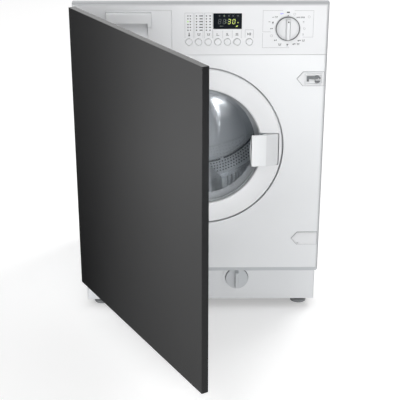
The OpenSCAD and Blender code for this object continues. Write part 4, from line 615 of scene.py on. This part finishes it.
# The foot line is painted shadow: a dark ring where the step at the foot of the pressed centre falls into
# shade
FOOT_SHADOW_R = 187.6
FOOT_SHADOW_WIDTH = 6.0
FOOT_SHADOW_PARTS = 3
FOOT_SHADOW_STEPS = 40
# Where the first part of the painted shadow line starts and how far each part goes, in degrees
FOOT_SHADOW_START = -68.0
FOOT_SHADOW_ARC = 117.0
# The band's holes are dark dots of painted shade
BAND_R = (193.0, 226.0)
BAND_PITCH = 8.4
BAND_HOLE = 2.5


def rear_front(low, high):
    """The front face of the rear wall between two distances from the drum's axis, in millimetres."""
    reach = [(math.hypot(v.co.x, v.co.z - DOOR_Z * MM) / MM, v.co.y / MM) for v in REAR_MESH.vertices]
    return min(y for r, y in reach if low < r < high)


def swirl(radius, angle):
    """The height of the pressed swirl: low waves that wind outwards and die away at both ends."""
    part = radius / SWIRL_R
    if not SWIRL_FROM < part < SWIRL_TO:
        return 0.0
    fade = math.sin(math.pi * (part - SWIRL_FROM) / (SWIRL_TO - SWIRL_FROM)) ** 0.7
    return SWIRL_HIGH * fade * (0.5 + 0.5 * math.cos(SWIRL_LOBES * angle + SWIRL_WIND * part)) ** 2


def drum_swirl():
    """The pressed centre of the rear wall."""
    face = rear_front(*SWIRL_SEAT) - 0.5
    bm = bmesh.new()
    place = Matrix.Translation((0, face * MM, DOOR_Z * MM)) @ Matrix.Rotation(math.pi / 2, 4, "X")
    made = bmesh.ops.create_circle(bm, cap_ends=False, radius=SWIRL_R * MM, segments=SWIRL_STEPS,
                                   matrix=place)
    rim = list({edge for vert in made["verts"] for edge in vert.link_edges})
    to_axis = Matrix.Translation((0, 0, -DOOR_Z * MM))
    for k in range(SWIRL_RINGS):
        grown = bmesh.ops.extrude_edge_only(bm, edges=rim)
        verts = [item for item in grown["geom"] if isinstance(item, bmesh.types.BMVert)]
        rim = [item for item in grown["geom"] if isinstance(item, bmesh.types.BMEdge)
               and item.verts[0] in verts and item.verts[1] in verts]
        scale = (1.0 - (k + 1.0) / (SWIRL_RINGS + 1.0)) / (1.0 - k / (SWIRL_RINGS + 1.0))
        bmesh.ops.scale(bm, verts=verts, vec=(scale, 1.0, scale), space=to_axis)
    bmesh.ops.holes_fill(bm, edges=rim, sides=SWIRL_STEPS)
    for vert in bm.verts:
        radius = math.hypot(vert.co.x, vert.co.z - DOOR_Z * MM) / MM
        angle = math.atan2(vert.co.z - DOOR_Z * MM, vert.co.x)
        vert.co.y -= swirl(radius, angle) * MM
    clean(bm)
    if sum(face.normal.y for face in bm.faces) > 0:
        bmesh.ops.reverse_faces(bm, faces=bm.faces)
    obj = make_piece("drum_swirl", bm, MATERIALS["drum_steel"], "drum", 60.0)
    thicken(obj, SWIRL_SHEET, -1.0)


def drum_band():
    """A painted shadow line at the foot of the pressed centre, and the outer band's punched holes painted as
    dark dots of shade.
    """
    face = rear_front(*BAND_SEAT)
    bm = bmesh.new()
    arc = math.radians(FOOT_SHADOW_ARC)
    for part in range(FOOT_SHADOW_PARTS):
        start = math.radians(part * 360.0 / FOOT_SHADOW_PARTS + FOOT_SHADOW_START)
        arc_line(bm, 0.0, DOOR_Z, FOOT_SHADOW_R, FOOT_SHADOW_WIDTH, FOOT_SHADOW_STEPS, face - 1.2, face - 0.05, start, arc)
    rows = int((BAND_R[1] - BAND_R[0]) / BAND_PITCH) + 1
    for row in range(rows):
        radius = BAND_R[0] + row * BAND_PITCH
        count = round(2 * math.pi * radius / BAND_PITCH)
        for k in range(count):
            angle = 2 * math.pi * (k + 0.5 * (row % 2)) / count
            x, z = radius * math.cos(angle), DOOR_Z + radius * math.sin(angle)
            dot(bm, x, z, BAND_HOLE, face - 0.3, face + 0.1, 6)
    make_piece("drum_painted_shadows", clean(bm), DRUM_PAINTED_SHADE, "drum")


drum_swirl()
drum_band()

# Suspension springs as true round wire

SPRING = [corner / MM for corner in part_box("suspension_springs")]
SPRING_GAP = 0.1
WIRE_R = 1.85
SPRING_R = 9.1
SPRING_TURNS = 14
STEPS_A_TURN = 28


def springs():
    """Two coils of round wire with flat cut ends."""
    bm = bmesh.new()
    mid_y = (SPRING[0].y + SPRING[1].y) / 2
    side = SPRING[1].x - SPRING_R - WIRE_R - SPRING_GAP
    rise = SPRING[1].z - SPRING[0].z - 2 * WIRE_R - 2 * SPRING_GAP
    steps = SPRING_TURNS * STEPS_A_TURN
    for x in (-side, side):
        start = (x + SPRING_R, mid_y, SPRING[0].z + WIRE_R + SPRING_GAP)
        place = Matrix.Translation(Vector(start) * MM) @ Matrix.Rotation(math.pi / 2, 4, "X")
        ring = bmesh.ops.create_circle(bm, cap_ends=True, radius=WIRE_R * MM, segments=10, matrix=place)
        faces = list({face for vert in ring["verts"] for face in vert.link_faces})
        edges = list({edge for vert in ring["verts"] for edge in vert.link_edges})
        bmesh.ops.spin(bm, geom=ring["verts"] + edges + faces, cent=(x * MM, mid_y * MM, 0), axis=(0, 0, 1),
                       dvec=(0, 0, rise / steps * MM), angle=2 * math.pi * SPRING_TURNS, steps=steps,
                       use_duplicate=False)
    obj = make_piece("spring_coils", clean(bm), MATERIALS["plated_steel"], "cabinet", 50.0)
    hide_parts("suspension_springs")


springs()

# Selector knob

SKIRT_OUT = 5.6
GRIP_HALF = 6.0
GRIP_STEPS = 8
GRIP_EDGE = 1.1
# The size of the grip's front as a share of its foot, across and along
GRIP_NARROW = 0.62
GRIP_SHORT = 0.94
# Half sections of the turned parts: distance in from the rim, and y
KNOB_RING = [(0.1, -0.2), (0.1, -2.0), (0.5, -2.5), (1.7, -2.6), (1.9, -0.2)]
KNOB_CAP = [(KNOB_R, -0.3), (2.1, -0.3), (2.1, -1.7), (2.6, -2.3), (6.0, -4.2), (9.5, -SKIRT_OUT + 0.2),
            (13.0, -SKIRT_OUT), (KNOB_R, -SKIRT_OUT - 0.2)]
# Half section of the stem: distance from its axis, and y
KNOB_STEM = [(0.0, -0.4), (2.9, -0.4), (2.9, 11.5), (0.0, 11.5)]


def selector_knob():
    """A grey outer ring of painted shade, a white cap that falls away to its rim, and an upright grip bar
    with a black dot and a line of painted shade at its right.
    """
    front = KNOB[0].y
    white = MATERIALS["white_plastic"]
    ring, cap = [[(KNOB_R - inward, y) for inward, y in half] for half in (KNOB_RING, KNOB_CAP)]
    # The grey ring is painted shade: it stands for the shadow in the gap round the knob
    make_piece("knob_shadow_ring", spun(ring, KNOB_X, KNOB_Z), DIAL_PAINTED_SHADE, "knob", 30.0)
    cap_obj = make_piece("knob_cap", spun(cap, KNOB_X, KNOB_Z), white, "knob", 30.0)
    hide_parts("selector_knob")
    make_piece("knob_stem", spun(KNOB_STEM, KNOB_X, KNOB_Z, 32), white, "knob")
    reach = KNOB_R - 3.4
    turn = math.asin(GRIP_HALF / reach)
    angles = [turn * (1 - 2 * k / GRIP_STEPS) for k in range(GRIP_STEPS + 1)]
    arc = [(reach * math.sin(angle), reach * math.cos(angle)) for angle in angles]
    outline = arc + [(-x, -z) for x, z in arc]
    bm = bmesh.new()
    plate(bm, [(KNOB_X + x, KNOB_Z + z) for x, z in outline], front + 0.3, -SKIRT_OUT + 0.4)
    for vert in bm.verts:
        if vert.co.y < (front + 1.0) * MM:
            vert.co.x = KNOB_X * MM + (vert.co.x - KNOB_X * MM) * GRIP_NARROW
            vert.co.z = KNOB_Z * MM + (vert.co.z - KNOB_Z * MM) * GRIP_SHORT
    grip = make_piece("knob_grip", clean(bm), white, "knob", 30.0)
    round_edges(grip, GRIP_EDGE, 3, 40.0)
    # A dark line of painted shade along the grip's right side
    bm = bmesh.new()
    dot(bm, KNOB_X, KNOB_Z + reach * GRIP_SHORT - 4.2, 1.9, front + 0.15, front + 0.5)
    printed("knob_dot", bm, BLACK_DOT, "knob")
    bm = bmesh.new()
    edge = KNOB_X + GRIP_HALF * GRIP_NARROW
    bar(bm, edge - 0.2, edge + 0.5, KNOB_Z - reach * 0.84, KNOB_Z + reach * 0.84, front + 0.2, front + 1.4)
    printed("knob_painted_shadow_line", bm, DIAL_PAINTED_SHADE, "knob")


selector_knob()

# Display

DIGIT_W = 5.4
DIGIT_H = 10.6
SEGMENT_T = 1.35
SEGMENTS = {"1": "bc", "3": "abgcd", "0": "abcdef", "8": "abcdefg"}
SLANT = 0.12
DIGIT_X = [40.4, 51.2, 62.7, 73.4]
DIGIT_Z = 771.0
COLON_Z = (2.6, 7.4)
POINT = (86.2, 773.9)
# A row of round signs above the digits, and a row of small blocks and a leaf below them
ROUND_X = (43.4, 54.2, 65.2, 75.0, 86.2)
ROUND_Z = 789.8
BLOCKS = 4
BLOCK_X = 43.4
BLOCK_Z = (764.4, 766.6)
BLOCK_WIDE = 1.6
BLOCK_PITCH = 2.4
LEAF = [(81.3, 763.6), (82.3, 766.4), (86.4, 767.6), (85.0, 764.4)]


def segment(bm, x0, z0, x1, z1, front, back):
    """One bar of a digit, with pointed ends."""
    half = SEGMENT_T / 2
    along = Vector((x1 - x0, z1 - z0)).normalized()
    side = Vector((-along.y, along.x)) * half
    a = Vector((x0, z0)) + along * 0.25
    b = Vector((x1, z1)) - along * 0.25
    plate(bm, [a, a + along * half - side, b - along * half - side, b, b - along * half + side,
               a + along * half + side], front, back)


def digit(bm, x, z, label, front, back):
    """A seven-segment digit with its lower left corner at (x, z)."""
    w, h = DIGIT_W, DIGIT_H
    places = {"a": (0, h, w, h), "b": (w, h, w, h / 2), "c": (w, h / 2, w, 0), "d": (0, 0, w, 0),
              "e": (0, 0, 0, h / 2), "f": (0, h / 2, 0, h), "g": (0, h / 2, w, h / 2)}
    for key in SEGMENTS[label]:
        x0, z0, x1, z1 = places[key]
        segment(bm, x + x0 + z0 * SLANT, z + z0, x + x1 + z1 * SLANT, z + z1, front, back)


def display():
    """The remaining time, ghost digits and plain signs on the dark window."""
    front = WINDOW[0].y - 0.12
    back = WINDOW[0].y + 0.05
    glow, dim, ghost = bmesh.new(), bmesh.new(), bmesh.new()
    for x in DIGIT_X:
        digit(ghost, x + 0.1, DIGIT_Z, "8", front + 0.07, back)
    digit(dim, DIGIT_X[1], DIGIT_Z, "1", front, back)
    for rise in COLON_Z:
        dot(dim, DIGIT_X[1] + DIGIT_W + 3.0 + SLANT * rise, DIGIT_Z + rise, 0.8, front, back, 10)
    digit(glow, DIGIT_X[2], DIGIT_Z, "3", front, back)
    digit(glow, DIGIT_X[3], DIGIT_Z, "0", front, back)
    dot(glow, *POINT, 1.15, front, back, 10)
    for k, x in enumerate(ROUND_X):
        sign = dim if k == 1 else ghost
        arc_line(sign, x, ROUND_Z, 1.9, 0.7, 12, front, back)
        bar(sign, x - 0.35, x + 0.35, ROUND_Z - 1.2, ROUND_Z + 1.2, front, back)
    plate(glow, LEAF, front, back)
    for k in range(BLOCKS):
        x = BLOCK_X + k * BLOCK_PITCH
        bar(dim if k == 1 else ghost, x, x + BLOCK_WIDE, *BLOCK_Z, front, back)
    printed("display_lit", glow, SEGMENT_LIT)
    printed("display_dim", dim, SEGMENT_DIM)
    printed("display_ghost", ghost, SEGMENT_GHOST)


display()

# Print on the fascia

LINE = 0.75
LED_ROWS = 6
LED_TOP = 789.7
LED_PITCH = 6.7
LAMP_R = 1.55
LAMP_FRONT = -0.25
# The column and the row of the lamp that is lit
LIT_LAMP = (0, 2)
# Left and right line, lamp, middle and width of the marks beside it
COLUMNS = [(-37.2, -17.6, -30.1, -24.4, 3.2), (-14.2, 4.8, -10.0, 0.4, 8.6), (8.4, 27.1, 12.8, 21.4, 4.0)]
BRACKET_TOP = 796.6
BRACKET_LOW = 737.7
SIGN_Z = 746.4
SHORT_SIGNS = [39.6, 62.2, 84.2]
SHORT_LEGS = [28.3, 50.9, 73.2, 94.3]
SHORT_TOP = 755.3
START_X = (103.3, 122.4)
START_TOP = 757.0
# The lower and the upper edge of the start and pause sign
START_SIGN = (743.6, 750.0)
# Lines that join the dial's words
DIAL_LINES = [
    [(144.2, 752.0), (144.2, 802.2), (190.1, 802.2)],
    [(144.2, 752.0), (162.5, 752.0)],
    [(144.2, 749.0), (144.2, 714.2), (206.7, 714.2)],
    [(217.5, 801.9), (261.8, 801.9), (261.8, 739.2), (238.5, 739.2)],
]


def tub_sign(bm, x, z, size):
    """A wash tub: a tray with sloping sides and a level line."""
    half = size / 2
    plate(bm, [(x - half, z + half * 0.7), (x - half * 0.7, z - half * 0.7), (x - half * 0.5, z - half * 0.7),
               (x - half * 0.72, z + half * 0.7)])
    plate(bm, [(x + half * 0.72, z + half * 0.7), (x + half * 0.5, z - half * 0.7),
               (x + half * 0.7, z - half * 0.7), (x + half, z + half * 0.7)])
    bar(bm, x - half * 0.7, x + half * 0.7, z - half * 0.78, z - half * 0.5)
    bar(bm, x - half * 0.8, x + half * 0.8, z + half * 0.12, z + half * 0.38)


def wedge_sign(bm, x, z, size):
    """A small filled triangle on a short bar."""
    half = size / 2
    plate(bm, [(x - half, z + half * 0.8), (x, z - half * 0.5), (x + half, z + half * 0.8)])
    bar(bm, x - half * 0.8, x + half * 0.8, z - half * 0.95, z - half * 0.68)


def drop_sign(bm, x, z, size):
    """Two round drops side by side."""
    dot(bm, x - size * 0.28, z, size * 0.26, sides=10)
    dot(bm, x + size * 0.32, z + size * 0.1, size * 0.22, sides=10)


def word_sign(bm, x, z, size):
    """A row of short upright strokes."""
    for k in range(4):
        bar(bm, x + (k - 1.9) * size * 0.27, x + (k - 1.3) * size * 0.27, z - size * 0.18, z + size * 0.2)


def ring_sign(bm, x, z, size):
    """A ring."""
    arc_line(bm, x, z, size / 2, 0.8, 16)


SIGNS = {"tub": tub_sign, "wedge": wedge_sign, "drop": drop_sign, "word": word_sign, "ring": ring_sign}
# Angle clockwise from the top, reach from the knob's middle, kind of sign, size in millimetres and darkness
DIAL_SIGNS = [
    (23.5, 37.0, "ring", 6.0, 0), (42.0, 35.5, "word", 8.0, 1), (52.0, 43.0, "word", 9.0, 1),
    (60.5, 56.0, "ring", 6.0, 0), (66.5, 39.5, "wedge", 5.0, 0), (90.0, 38.5, "ring", 5.4, 0),
    (111.0, 38.6, "wedge", 5.0, 0), (127.0, 46.5, "tub", 6.4, 1), (136.5, 39.5, "drop", 6.5, 2),
    (145.0, 44.0, "tub", 6.4, 1), (157.0, 40.0, "drop", 6.5, 2), (180.0, 38.6, "wedge", 6.0, 1),
    (205.5, 41.5, "tub", 7.0, 1), (225.5, 39.3, "drop", 6.0, 1), (246.0, 41.3, "ring", 6.0, 0),
    (270.0, 38.0, "drop", 5.4, 2), (291.5, 38.0, "wedge", 5.4, 2), (290.5, 46.0, "word", 4.5, 1),
    (315.5, 38.8, "tub", 6.0, 1), (308.0, 43.8, "word", 4.5, 1),
]
# The one violet mark beside the dial: its angle clockwise from the top, its reach and its size
VIOLET_SIGN = (-23.0, 37.9, 6.5)


def dial_place(turn, reach):
    """The place at an angle clockwise from the knob's top and at a distance from its middle."""
    angle = math.radians(90.0 - turn)
    return KNOB_X + reach * math.cos(angle), KNOB_Z + reach * math.sin(angle)


def legend():
    """Lines, signs and marks, all a little proud of the fascia."""
    thin, mid, dark = bmesh.new(), bmesh.new(), bmesh.new()
    for k, (x0, x1, _, mark, width) in enumerate(COLUMNS):
        path_line(thin, [(x0, BRACKET_LOW), (x0, BRACKET_TOP), (x1, BRACKET_TOP), (x1, BRACKET_LOW)], LINE)
        for row in range(LED_ROWS):
            z = LED_TOP - row * LED_PITCH
            short = width * (0.8 if row % 2 else 1.0)
            bar(mid, mark - short / 2, mark + short / 2, z - 1.25, z + 1.25)
        middle = (x0 + x1) / 2
        if k == 0:
            bar(dark, middle - 1.0, middle + 1.0, SIGN_Z - 4.0, SIGN_Z + 4.0)
            dot(dark, middle, SIGN_Z - 2.6, 2.0)
        else:
            tub_sign(dark, middle, SIGN_Z, 7.4)
    for x in SHORT_LEGS:
        path_line(thin, [(x, BRACKET_LOW), (x, SHORT_TOP)], LINE)
    for k, x in enumerate(SHORT_SIGNS):
        path_line(mid, [(x - 3.0, SIGN_Z - 2.6), (x + 3.0, SIGN_Z - 2.6)], 1.0)
        for j in range(k + 1):
            bar(mid, x - 2.6 + j * 2.0, x - 1.4 + j * 2.0, SIGN_Z - 1.6, SIGN_Z + 2.8)
    x0, x1 = START_X
    path_line(thin, [(x0, BRACKET_LOW), (x0, START_TOP), (x1, START_TOP), (x1, BRACKET_LOW)], LINE)
    middle = (x0 + x1) / 2
    low, high = START_SIGN
    bar(mid, middle + 0.4, middle + 1.7, low, high)
    bar(mid, middle + 2.6, middle + 3.9, low, high)
    plate(mid, [(middle - 4.2, low), (middle - 0.8, (low + high) / 2), (middle - 4.2, high)])
    for points in DIAL_LINES:
        path_line(thin, points, LINE)
    for turn, reach, kind, size, tone in DIAL_SIGNS:
        SIGNS[kind]((thin, mid, dark)[tone], *dial_place(turn, reach), size)
    bar(dark, KNOB_X - 3.4, KNOB_X + 3.4, KNOB_Z + 36.9, KNOB_Z + 39.9)
    bar(dark, KNOB_X - 1.2, KNOB_X + 1.2, KNOB_Z + 29.6, KNOB_Z + 31.6)
    printed("legend_lines", thin, LINE_GREY_PRINT_AND_SHADOW)
    printed("legend_print", mid, PRINT_GREY)
    printed("legend_dark", dark, PRINT_DARK)
    violet = bmesh.new()
    turn, reach, size = VIOLET_SIGN
    drop_sign(violet, *dial_place(turn, reach), size)
    printed("dial_mark", violet, MARK_VIOLET)


legend()


def lamps():
    """The small lamps in their three columns, one of them lit."""
    dark, bright = bmesh.new(), bmesh.new()
    for k, (_, _, x, _, _) in enumerate(COLUMNS):
        for row in range(LED_ROWS):
            z = LED_TOP - row * LED_PITCH
            dot(bright if (k, row) == LIT_LAMP else dark, x, z, LAMP_R, LAMP_FRONT, 0.1, 12)
    printed("lamps_off", dark, LAMP_OFF)
    printed("lamp_on", bright, LAMP_LIT)


lamps()

# Painted shadow lines along the gaps on the front

CATCH = [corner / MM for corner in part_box("catch_body")]
COVER = [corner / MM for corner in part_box("blank_cover")]
# Painted shadow lines round the sunk frame inside the catch: its right end's distance from the catch's, its
# length and half its height
FRAME_IN = 2.7
FRAME_LONG = 41.0
FRAME_HALF = 14.0
FRAME_DEPTH = (-2.05, -1.7)
# Left, right, lower and upper edge of the drawer's pull
PULL = (-220.1, -115.0, 763.5, 797.8)
PULL_SHADOW_LINE = 1.1
SHADOW_LINE_FRONT = -0.12
# How far a shield's point reaches out
SHIELD_TIP = 14.5


def slope_line(bm, x0, z0, x1, z1, width, front=SHADOW_LINE_FRONT, back=PRINT_BACK):
    """A line of one run at any slope."""
    along = Vector((x1 - x0, z1 - z0)).normalized()
    side = Vector((-along.y, along.x)) * width / 2
    a, b = Vector((x0, z0)) - along * width * 0.3, Vector((x1, z1)) + along * width * 0.3
    plate(bm, [a + side, a - side, b - side, b + side], front, back)


def shield_gap_shadow(pale, dark, box):
    """Painted shadow lines along the gap round a plate with a pointed left end. Its top line goes into the
    second mesh.
    """
    left, right, low, high = box[0].x - 0.6, box[1].x + 0.4, box[0].z - 0.6, box[1].z + 0.6
    mid = (low + high) / 2
    tip = left + SHIELD_TIP
    slope_line(pale, left, mid, tip, high, 1.5)
    slope_line(pale, left, mid, tip, low, 1.5)
    slope_line(dark, tip, high, right, high, 1.3)
    slope_line(pale, tip, low, right, low, 1.3)
    slope_line(pale, right, low, right, high, 1.5)


def gap_shadows():
    """Painted shadow lines round the catch, its sunk frame, the blank cover and the drawer's pull."""
    pale, dark = bmesh.new(), bmesh.new()
    shield_gap_shadow(pale, pale, CATCH)
    shield_gap_shadow(pale, dark, COVER)
    mid = (CATCH[0].z + CATCH[1].z) / 2
    right, low, high = CATCH[1].x - FRAME_IN, mid - FRAME_HALF, mid + FRAME_HALF
    left = right - FRAME_LONG
    slope_line(dark, left + 1.0, low - 0.5, right, low - 0.5, 1.4, *FRAME_DEPTH)
    slope_line(pale, right + 0.6, low, right + 0.6, high - 2.0, 1.4, *FRAME_DEPTH)
    slope_line(pale, left, low, left, high, 1.0, *FRAME_DEPTH)
    printed("painted_shadow_lines_pale", pale, SHADOW_LINE_GREY)
    printed("painted_shadow_lines_dark", dark, SHADOW_LINE_DARK)
    pull = bmesh.new()
    left, right, low, high = PULL
    corners = [(left, low), (left, high), (right, high), (right, low)]
    for start, end in zip(corners, corners[1:]):
        slope_line(pull, *start, *end, PULL_SHADOW_LINE)
    printed("pull_painted_shadow", pull, LINE_GREY_PRINT_AND_SHADOW, body="drawer")


gap_shadows()

# Screws on the rear

REAR = [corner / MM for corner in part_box("rear_panel")]
REARWARD = Vector((0, 1, 0))
SCREW_R = 3.6
SCREW_IN = 9.0
SCREW_ROWS = 6
SCREW_END = 30
TOP_SCREWS_X = (-150.0, 0.0, 120.0)


def screw(bm, place):
    """A pan head with a sunk middle, standing on the rear face."""
    turn = Vector((0, 0, 1)).rotation_difference(REARWARD).to_matrix().to_4x4()
    matrix = Matrix.Translation(Vector(place) * MM) @ turn
    made = bmesh.ops.create_cone(bm, cap_ends=True, segments=12, radius1=SCREW_R * MM,
                                 radius2=SCREW_R * 0.72 * MM, depth=2.2 * MM, matrix=matrix)
    faces = {face for vert in made["verts"] for face in vert.link_faces}
    top = max(faces, key=lambda face: face.calc_center_median().dot(REARWARD))
    bmesh.ops.inset_region(bm, faces=[top], thickness=SCREW_R * 0.3 * MM)
    bmesh.ops.translate(bm, verts=list(top.verts), vec=REARWARD * -1.0 * MM)


def fasteners():
    """Sheet screws round the rear panel."""
    bm = bmesh.new()
    y = REAR[1].y - 1.5
    for k in range(SCREW_ROWS):
        z = REAR[0].z + SCREW_END + k * (REAR[1].z - REAR[0].z - 2 * SCREW_END) / (SCREW_ROWS - 1)
        for x in (REAR[0].x + SCREW_IN, REAR[1].x - SCREW_IN):
            screw(bm, (x, y, z))
    for x in TOP_SCREWS_X:
        screw(bm, (x, y, REAR[1].z - SCREW_IN))
    make_piece("rear_screws", bm, MATERIALS["plated_steel"], "cabinet")


fasteners()

# Floor, world, lamps and camera

FLOOR_SIZE = 40.0
FLOOR_TONE = 0.86
CAMERA_GLOW = 0.35
# The painted reflection that glossy rays see on the floor: two directions, each with the reach over which the
# glow changes and its strength at both ends
PANEL_REFLECTION_GLOWS = [
    ((0.553, 0.833, 0.0), (-0.19, -0.49), (0.03, 1.0)),
    ((-0.866, 0.5, 0.0), (0.0, 1.5), (0.5, 1.0)),
]
SKY_LIGHT = 0.55


def stage_floor():
    """A pale floor that is white to the camera and keeps the shadow. Glossy rays see a painted glow on it
    that grows lighter away from the panel's hinge, a painted reflection that gives the dark panel its soft
    gradient."""
    bm = bmesh.new()
    bmesh.ops.create_grid(bm, x_segments=4, y_segments=4, size=FLOOR_SIZE / 2)
    mesh = bpy.data.meshes.new("floor")
    bm.to_mesh(mesh)
    bm.free()
    floor = placed("floor", mesh)
    made, tree = blank("floor_white")
    path = add(tree, "LightPath").outputs
    paint = add(tree, "BsdfDiffuse", {"Color": (FLOOR_TONE, FLOOR_TONE, FLOOR_TONE, 1.0)})
    glow = add(tree, "Emission", {"Strength": maths(tree, "MULTIPLY", path["Is Camera Ray"], CAMERA_GLOW)})
    plain = add(tree, "AddShader", {0: paint.outputs[0], 1: glow.outputs[0]})
    levels = []
    for way, reach, strength in PANEL_REFLECTION_GLOWS:
        along = add(tree, "VectorMath", {0: here(tree), 1: way}, operation="DOT_PRODUCT")
        level = add(tree, "MapRange", {"Value": along.outputs["Value"], "From Min": reach[0],
                                       "From Max": reach[1], "To Min": strength[0], "To Max": strength[1]})
        levels.append(level.outputs[0])
    shown = add(tree, "Emission", {"Strength": maths(tree, "MULTIPLY", *levels)})
    mixed = add(tree, "MixShader", {0: path["Is Glossy Ray"], 1: plain.outputs[0], 2: shown.outputs[0]})
    mesh.materials.append(ended(made, mixed))


stage_floor()


def world_light(strength):
    """An even sky: white to camera, glossy and transmitted rays, softer for the light that it gives."""
    world = bpy.data.worlds.new("studio")
    scene.world = world
    world.use_nodes = True
    tree = world.node_tree
    tree.nodes.clear()
    path = add(tree, "LightPath").outputs
    first = maths(tree, "MAXIMUM", path["Is Camera Ray"], path["Is Glossy Ray"])
    seen = maths(tree, "MAXIMUM", first, path["Is Transmission Ray"])
    level = add(tree, "MapRange", {"Value": seen, "To Min": strength, "To Max": 1.0})
    sky = add(tree, "Background", {"Color": (1.0, 1.0, 1.0, 1.0), "Strength": level.outputs[0]})
    output = tree.nodes.new("ShaderNodeOutputWorld")
    tree.links.new(sky.outputs[0], output.inputs[0])


world_light(SKY_LIGHT)


def lamp(name, kind, place, aim, power, **settings):
    """A lamp that points from a place at another."""
    data = bpy.data.lights.new(name, kind)
    data.energy = power
    for key, value in settings.items():
        setattr(data, key, value)
    holder = placed(name, data)
    holder.location = place
    holder.rotation_euler = (Vector(aim) - Vector(place)).to_track_quat("-Z", "Y").to_euler()


# Each lamp's name, kind, place, aim and power in watts
lamp("key", "AREA", (0.25, -3.5, 0.85), (0.1, 0.0, 0.30), 15.0, size=1.5)
lamp("side", "AREA", (-1.5, -2.4, 2.9), (-0.2, 0.0, 0.7), 32.0, size=1.6)
lamp("fill", "AREA", (0.55, -2.2, 0.12), (-0.05, 0.0, 0.15), 17.5, size=0.8)
lamp("back", "AREA", (2.6, 2.6, 3.4), (0.0, 0.4, 0.45), 85.0, size=2.2)
lamp("drum", "SPOT", (0.10, -2.9, 1.62), (-0.03, 0.0, 0.440), 380.0, shadow_soft_size=0.12,
     spot_size=math.radians(4.4), spot_blend=0.5)


def photo_camera():
    """The photograph's viewpoint: a long lens a little above the machine."""
    data = bpy.data.cameras.new("photo")
    data.sensor_width = 36.0
    data.lens = 93.3
    camera = placed("photo", data)
    camera.location = (-0.027, -2.381, 1.319)
    camera.rotation_euler = (math.radians(90.0 - 22.6), 0.0, math.radians(-0.6))
    scene.camera = camera


photo_camera()
scene.view_settings.view_transform = "Standard"

# The nodes that are shown as they are get their slot's finish
for node, obj in frame["nodes"].items():
    obj.data.materials.clear()
    obj.data.materials.append(MATERIALS[SLOT_OF[node]])
